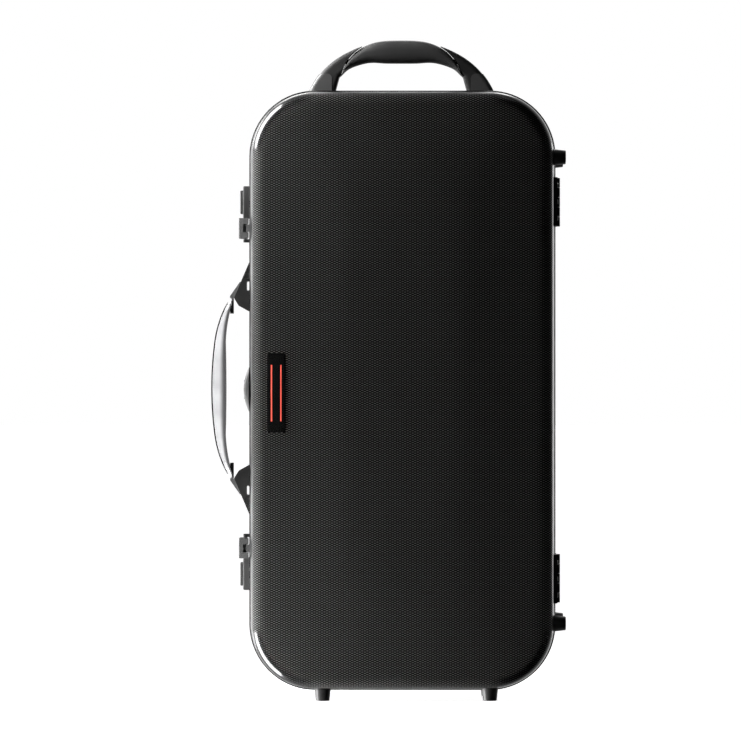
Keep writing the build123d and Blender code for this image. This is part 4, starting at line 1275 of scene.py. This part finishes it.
@dataclass
class Badge:
    """Domed bare plate bedded on the lid's slope."""

    form: CaseForm
    from_edge: float = 28.3 * MM
    rise: float = -2.9 * MM
    width: float = 19.6 * MM
    length: float = 84.2 * MM
    corner: float = 1.5 * MM
    thick: float = 1.6 * MM
    dome: float = 0.5 * MM
    bed: float = 0.8 * MM
    edge_run: float = 1.2 * MM
    edge_round: float = 0.5 * MM

    def mesh(self) -> Piece:
        """Rings up the plate's edge, rounded over, then in across a low dome.

        Dome height = dome x (1 - square of the distance across the plate).

        Returns:
            The piece.
        """
        form = self.form
        shoulder = form.lid_depth - form.crown_rise
        taper = (shoulder - form.lid_skirt) * tan(form.draft)
        tilt = atan2(form.crown_rise, form.crown_inset - taper)
        plate = RoundedFrame(self.width / 2, self.length / 2, self.corner, 6, 12)
        turns = [(0, -self.bed), (0, self.thick - self.dome), (self.edge_run, self.thick - self.dome / 2)]
        line = rounded(np.array(turns), np.array([0, self.edge_round, 0]), 5)
        sides = plate.rings(line[:, 0], np.full(len(line), self.corner))
        inward = np.linspace(0, 1, 9)[1:]
        top = sides[-1] + (plate.spine() - sides[-1]) * inward[:, None, None]
        flat = np.concatenate([plate.spine()[None], sides, top])
        across = np.abs(top[..., 0]) / (self.width / 2)
        heights = np.concatenate(
            [
                np.full((1, sides.shape[1]), -self.bed),
                np.repeat(line[:, 1:], sides.shape[1], 1),
                self.thick - self.dome / 2 * across**2,
            ]
        )
        x = form.centre_x - form.half_width + self.from_edge
        y = form.seam_y - shoulder - (self.from_edge - taper) * tan(tilt)
        points = np.stack(
            [
                x + flat[..., 0] * cos(tilt) - heights * sin(tilt),
                y - flat[..., 0] * sin(tilt) - heights * cos(tilt),
                form.centre_z + self.rise + flat[..., 1],
            ],
            -1,
        )
        return make_piece("badge_domed_plate", [Patch.grid(points)], sharp=60)

    def make(self) -> None:
        """Build and dress the plate."""
        form = self.form
        finish = LinedFinish(
            "badge_gloss_lined", grey(0.003), grey(0.1), roughness=0.08, roughness_spread=0.03,
            coat=0.6, grain_height=0.0, wear=0.5, dust=0.002,
            middle=form.centre_x - form.half_width + self.from_edge,
            centre_height=form.centre_z + self.rise,
        )
        finish_piece(self.mesh(), "lid", "badge_gloss", finish.build(), "badge_plate")


# Studio


class Lights(Enum):
    """What a lamp lights, as a pair: matte surfaces, and reflections."""

    ALL = (True, True)
    MATTE = (True, False)
    GLOSS = (False, True)


@dataclass(frozen=True)
class Lamp:
    """Soft rectangular lamp."""

    name: str
    place: tuple[float, float, float]
    size: tuple[float, float]
    radiance: float
    lights: Lights = Lights.ALL

    def make(self, target: Vector) -> None:
        """Place the lamp, turned to the target; power = radiance x pi x area."""
        data = bpy.data.lights.new(self.name, "AREA")
        data.shape = "RECTANGLE"
        data.size, data.size_y = self.size
        data.energy = self.radiance * pi * self.size[0] * self.size[1]
        lamp = bpy.data.objects.new(self.name, data)
        lamp.location = self.place
        lamp.rotation_euler = (target - lamp.location).to_track_quat("-Z", "Y").to_euler()
        lamp.visible_camera = False
        lamp.visible_diffuse, lamp.visible_glossy = self.lights.value
        bpy.context.scene.collection.objects.link(lamp)


@dataclass
class Studio:
    """Camera, lamps, white surround and pale floor."""

    frame_x: float = -0.0186
    frame_z: float = 0.3514
    frame_span: float = 0.7911
    front_y: float = -0.0274
    distance: float = 6.0
    front_level: float = 0.01
    back_level: float = 0.5
    floor_half: float = 30.0
    floor_level: float = 0.8
    floor_glow: float = 0.95
    lamps: tuple[Lamp, ...] = (
        Lamp("left_high", (-0.35, -0.12, 0.75), (0.2, 0.2), 48.0, Lights.MATTE),
        Lamp("left_low", (-0.35, -0.12, -0.09), (0.2, 0.2), 80.0, Lights.MATTE),
        Lamp("left_top", (-0.12, -0.15, 0.85), (0.2, 0.1), 6.5, Lights.MATTE),
        Lamp("left_side", (-0.4, -0.12, 0.33), (0.1, 0.8), 15.0, Lights.MATTE),
        Lamp("overhead", (0.1, 0.1, 2.1), (1.4, 0.8), 0.3),
        Lamp("top_back", (-0.1, 1.2, 1.4), (1.0, 0.5), 4.0, Lights.GLOSS),
        Lamp("left_back", (-0.85, 1.2, 0.45), (0.5, 1.4), 4.0, Lights.GLOSS),
        Lamp("corner_high", (-1.39, 0.12, 1.38), (0.9, 1.4), 22.0, Lights.GLOSS),
        Lamp("corner_low", (-1.39, 0.12, -0.72), (0.9, 1.4), 22.0, Lights.GLOSS),
        Lamp("right_back", (0.8, 1.2, 0.35), (0.4, 0.8), 4.0, Lights.GLOSS),
    )

    def camera(self) -> None:
        """Long lens, level with the case's middle, framed by the span at the lid's rim."""
        scene = bpy.context.scene
        data = bpy.data.cameras.new("front")
        data.lens = data.sensor_width * self.distance / self.frame_span
        data.clip_end = 100.0
        camera = bpy.data.objects.new("front", data)
        camera.location = (self.frame_x, self.front_y - self.distance, self.frame_z)
        camera.rotation_euler = (pi / 2, 0, 0)
        scene.collection.objects.link(camera)
        scene.camera = camera

    def surround(self) -> None:
        """World: white to rays that are seen, else nearly dark in front and brighter behind."""
        world = bpy.data.worlds.new("surround")
        world.use_nodes = True
        bpy.context.scene.world = world
        tree = Tree(world.node_tree)
        seen = tree.seen()
        ahead = tree.axes(tree.node("TexCoord").outputs["Generated"])[1]
        plain = tree.spread(ahead, 0.0, 0.9, self.front_level, self.back_level)
        strength = tree.math("MULTIPLY_ADD", seen, tree.math("SUBTRACT", 1.0, plain), plain)
        tree.set(world.node_tree.nodes["Background"].inputs["Strength"], strength)
        world.node_tree.nodes["Background"].inputs["Color"].default_value = grey(1.0)

    def floor(self) -> None:
        """Pale floor with a glow for seen rays, which shows white where it is lit."""
        half = self.floor_half
        mesh = bpy.data.meshes.new("floor")
        corners = [(-half, -half, 0), (half, -half, 0), (half, half, 0), (-half, half, 0)]
        mesh.from_pydata(corners, [], [(0, 1, 2, 3)])
        floor = bpy.data.objects.new("floor", mesh)
        bpy.context.scene.collection.objects.link(floor)
        material = bpy.data.materials.new("pale_floor")
        material.use_nodes = True
        tree = Tree(material.node_tree)
        shader = material.node_tree.nodes["Principled BSDF"]
        shader.inputs["Base Color"].default_value = grey(self.floor_level)
        shader.inputs["Roughness"].default_value = 0.9
        shader.inputs["Specular IOR Level"].default_value = 0.1
        glow = tree.node("Emission", {"Color": grey(1.0), "Strength": self.floor_glow})
        both = tree.node("AddShader", {0: shader.outputs[0], 1: glow.outputs[0]})
        pick = tree.node("MixShader", {0: tree.seen(), 1: shader.outputs[0], 2: both.outputs[0]})
        tree.set(material.node_tree.nodes["Material Output"].inputs[0], pick.outputs[0])
        floor.data.materials.append(material)
        floor.visible_glossy = False
        floor.visible_shadow = False

    def make(self) -> None:
        """Set up the whole studio."""
        bpy.context.scene.view_settings.view_transform = "Standard"
        self.camera()
        self.surround()
        self.floor()
        for lamp in self.lamps:
            lamp.make(Vector((0.0, 0.0, self.frame_z)))
        log.info("studio: %d lamps", len(self.lamps))


# Dressing


COVERS = ("top_handle_left_cover", "top_handle_right_cover")


def dress_nodes(materials: dict[str, Material]) -> None:
    """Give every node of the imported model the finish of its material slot.

    Args:
        materials: Finished material of each slot.
    """
    for name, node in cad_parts.items():
        for place in node.material_slots:
            slot = place.material.name.split(".")[0]
            if name in COVERS:
                slot = "handle_cover"
            if slot in materials:
                place.material = materials[slot]
                log.info("%s: %s", name, materials[slot].name)


def main() -> None:
    """Build the studio, the finishes and the pieces."""
    logging.basicConfig(level=logging.INFO, format="%(name)s: %(message)s")
    Studio().make()
    materials = {slot: finish.build() for slot, finish in FINISHES.items()}
    dress_nodes(materials)
    form = CaseForm.from_frame()
    for half in Half:
        CaseShell(form, half).make(materials["shell"])
    RimProfiles(form).make(materials["rim"], materials["seal"])
    Linings(form).make(materials["lining"])
    TopPad().make(form, materials["soft_grip"])
    Badge(form).make()


if __name__ == "__main__":
    main()
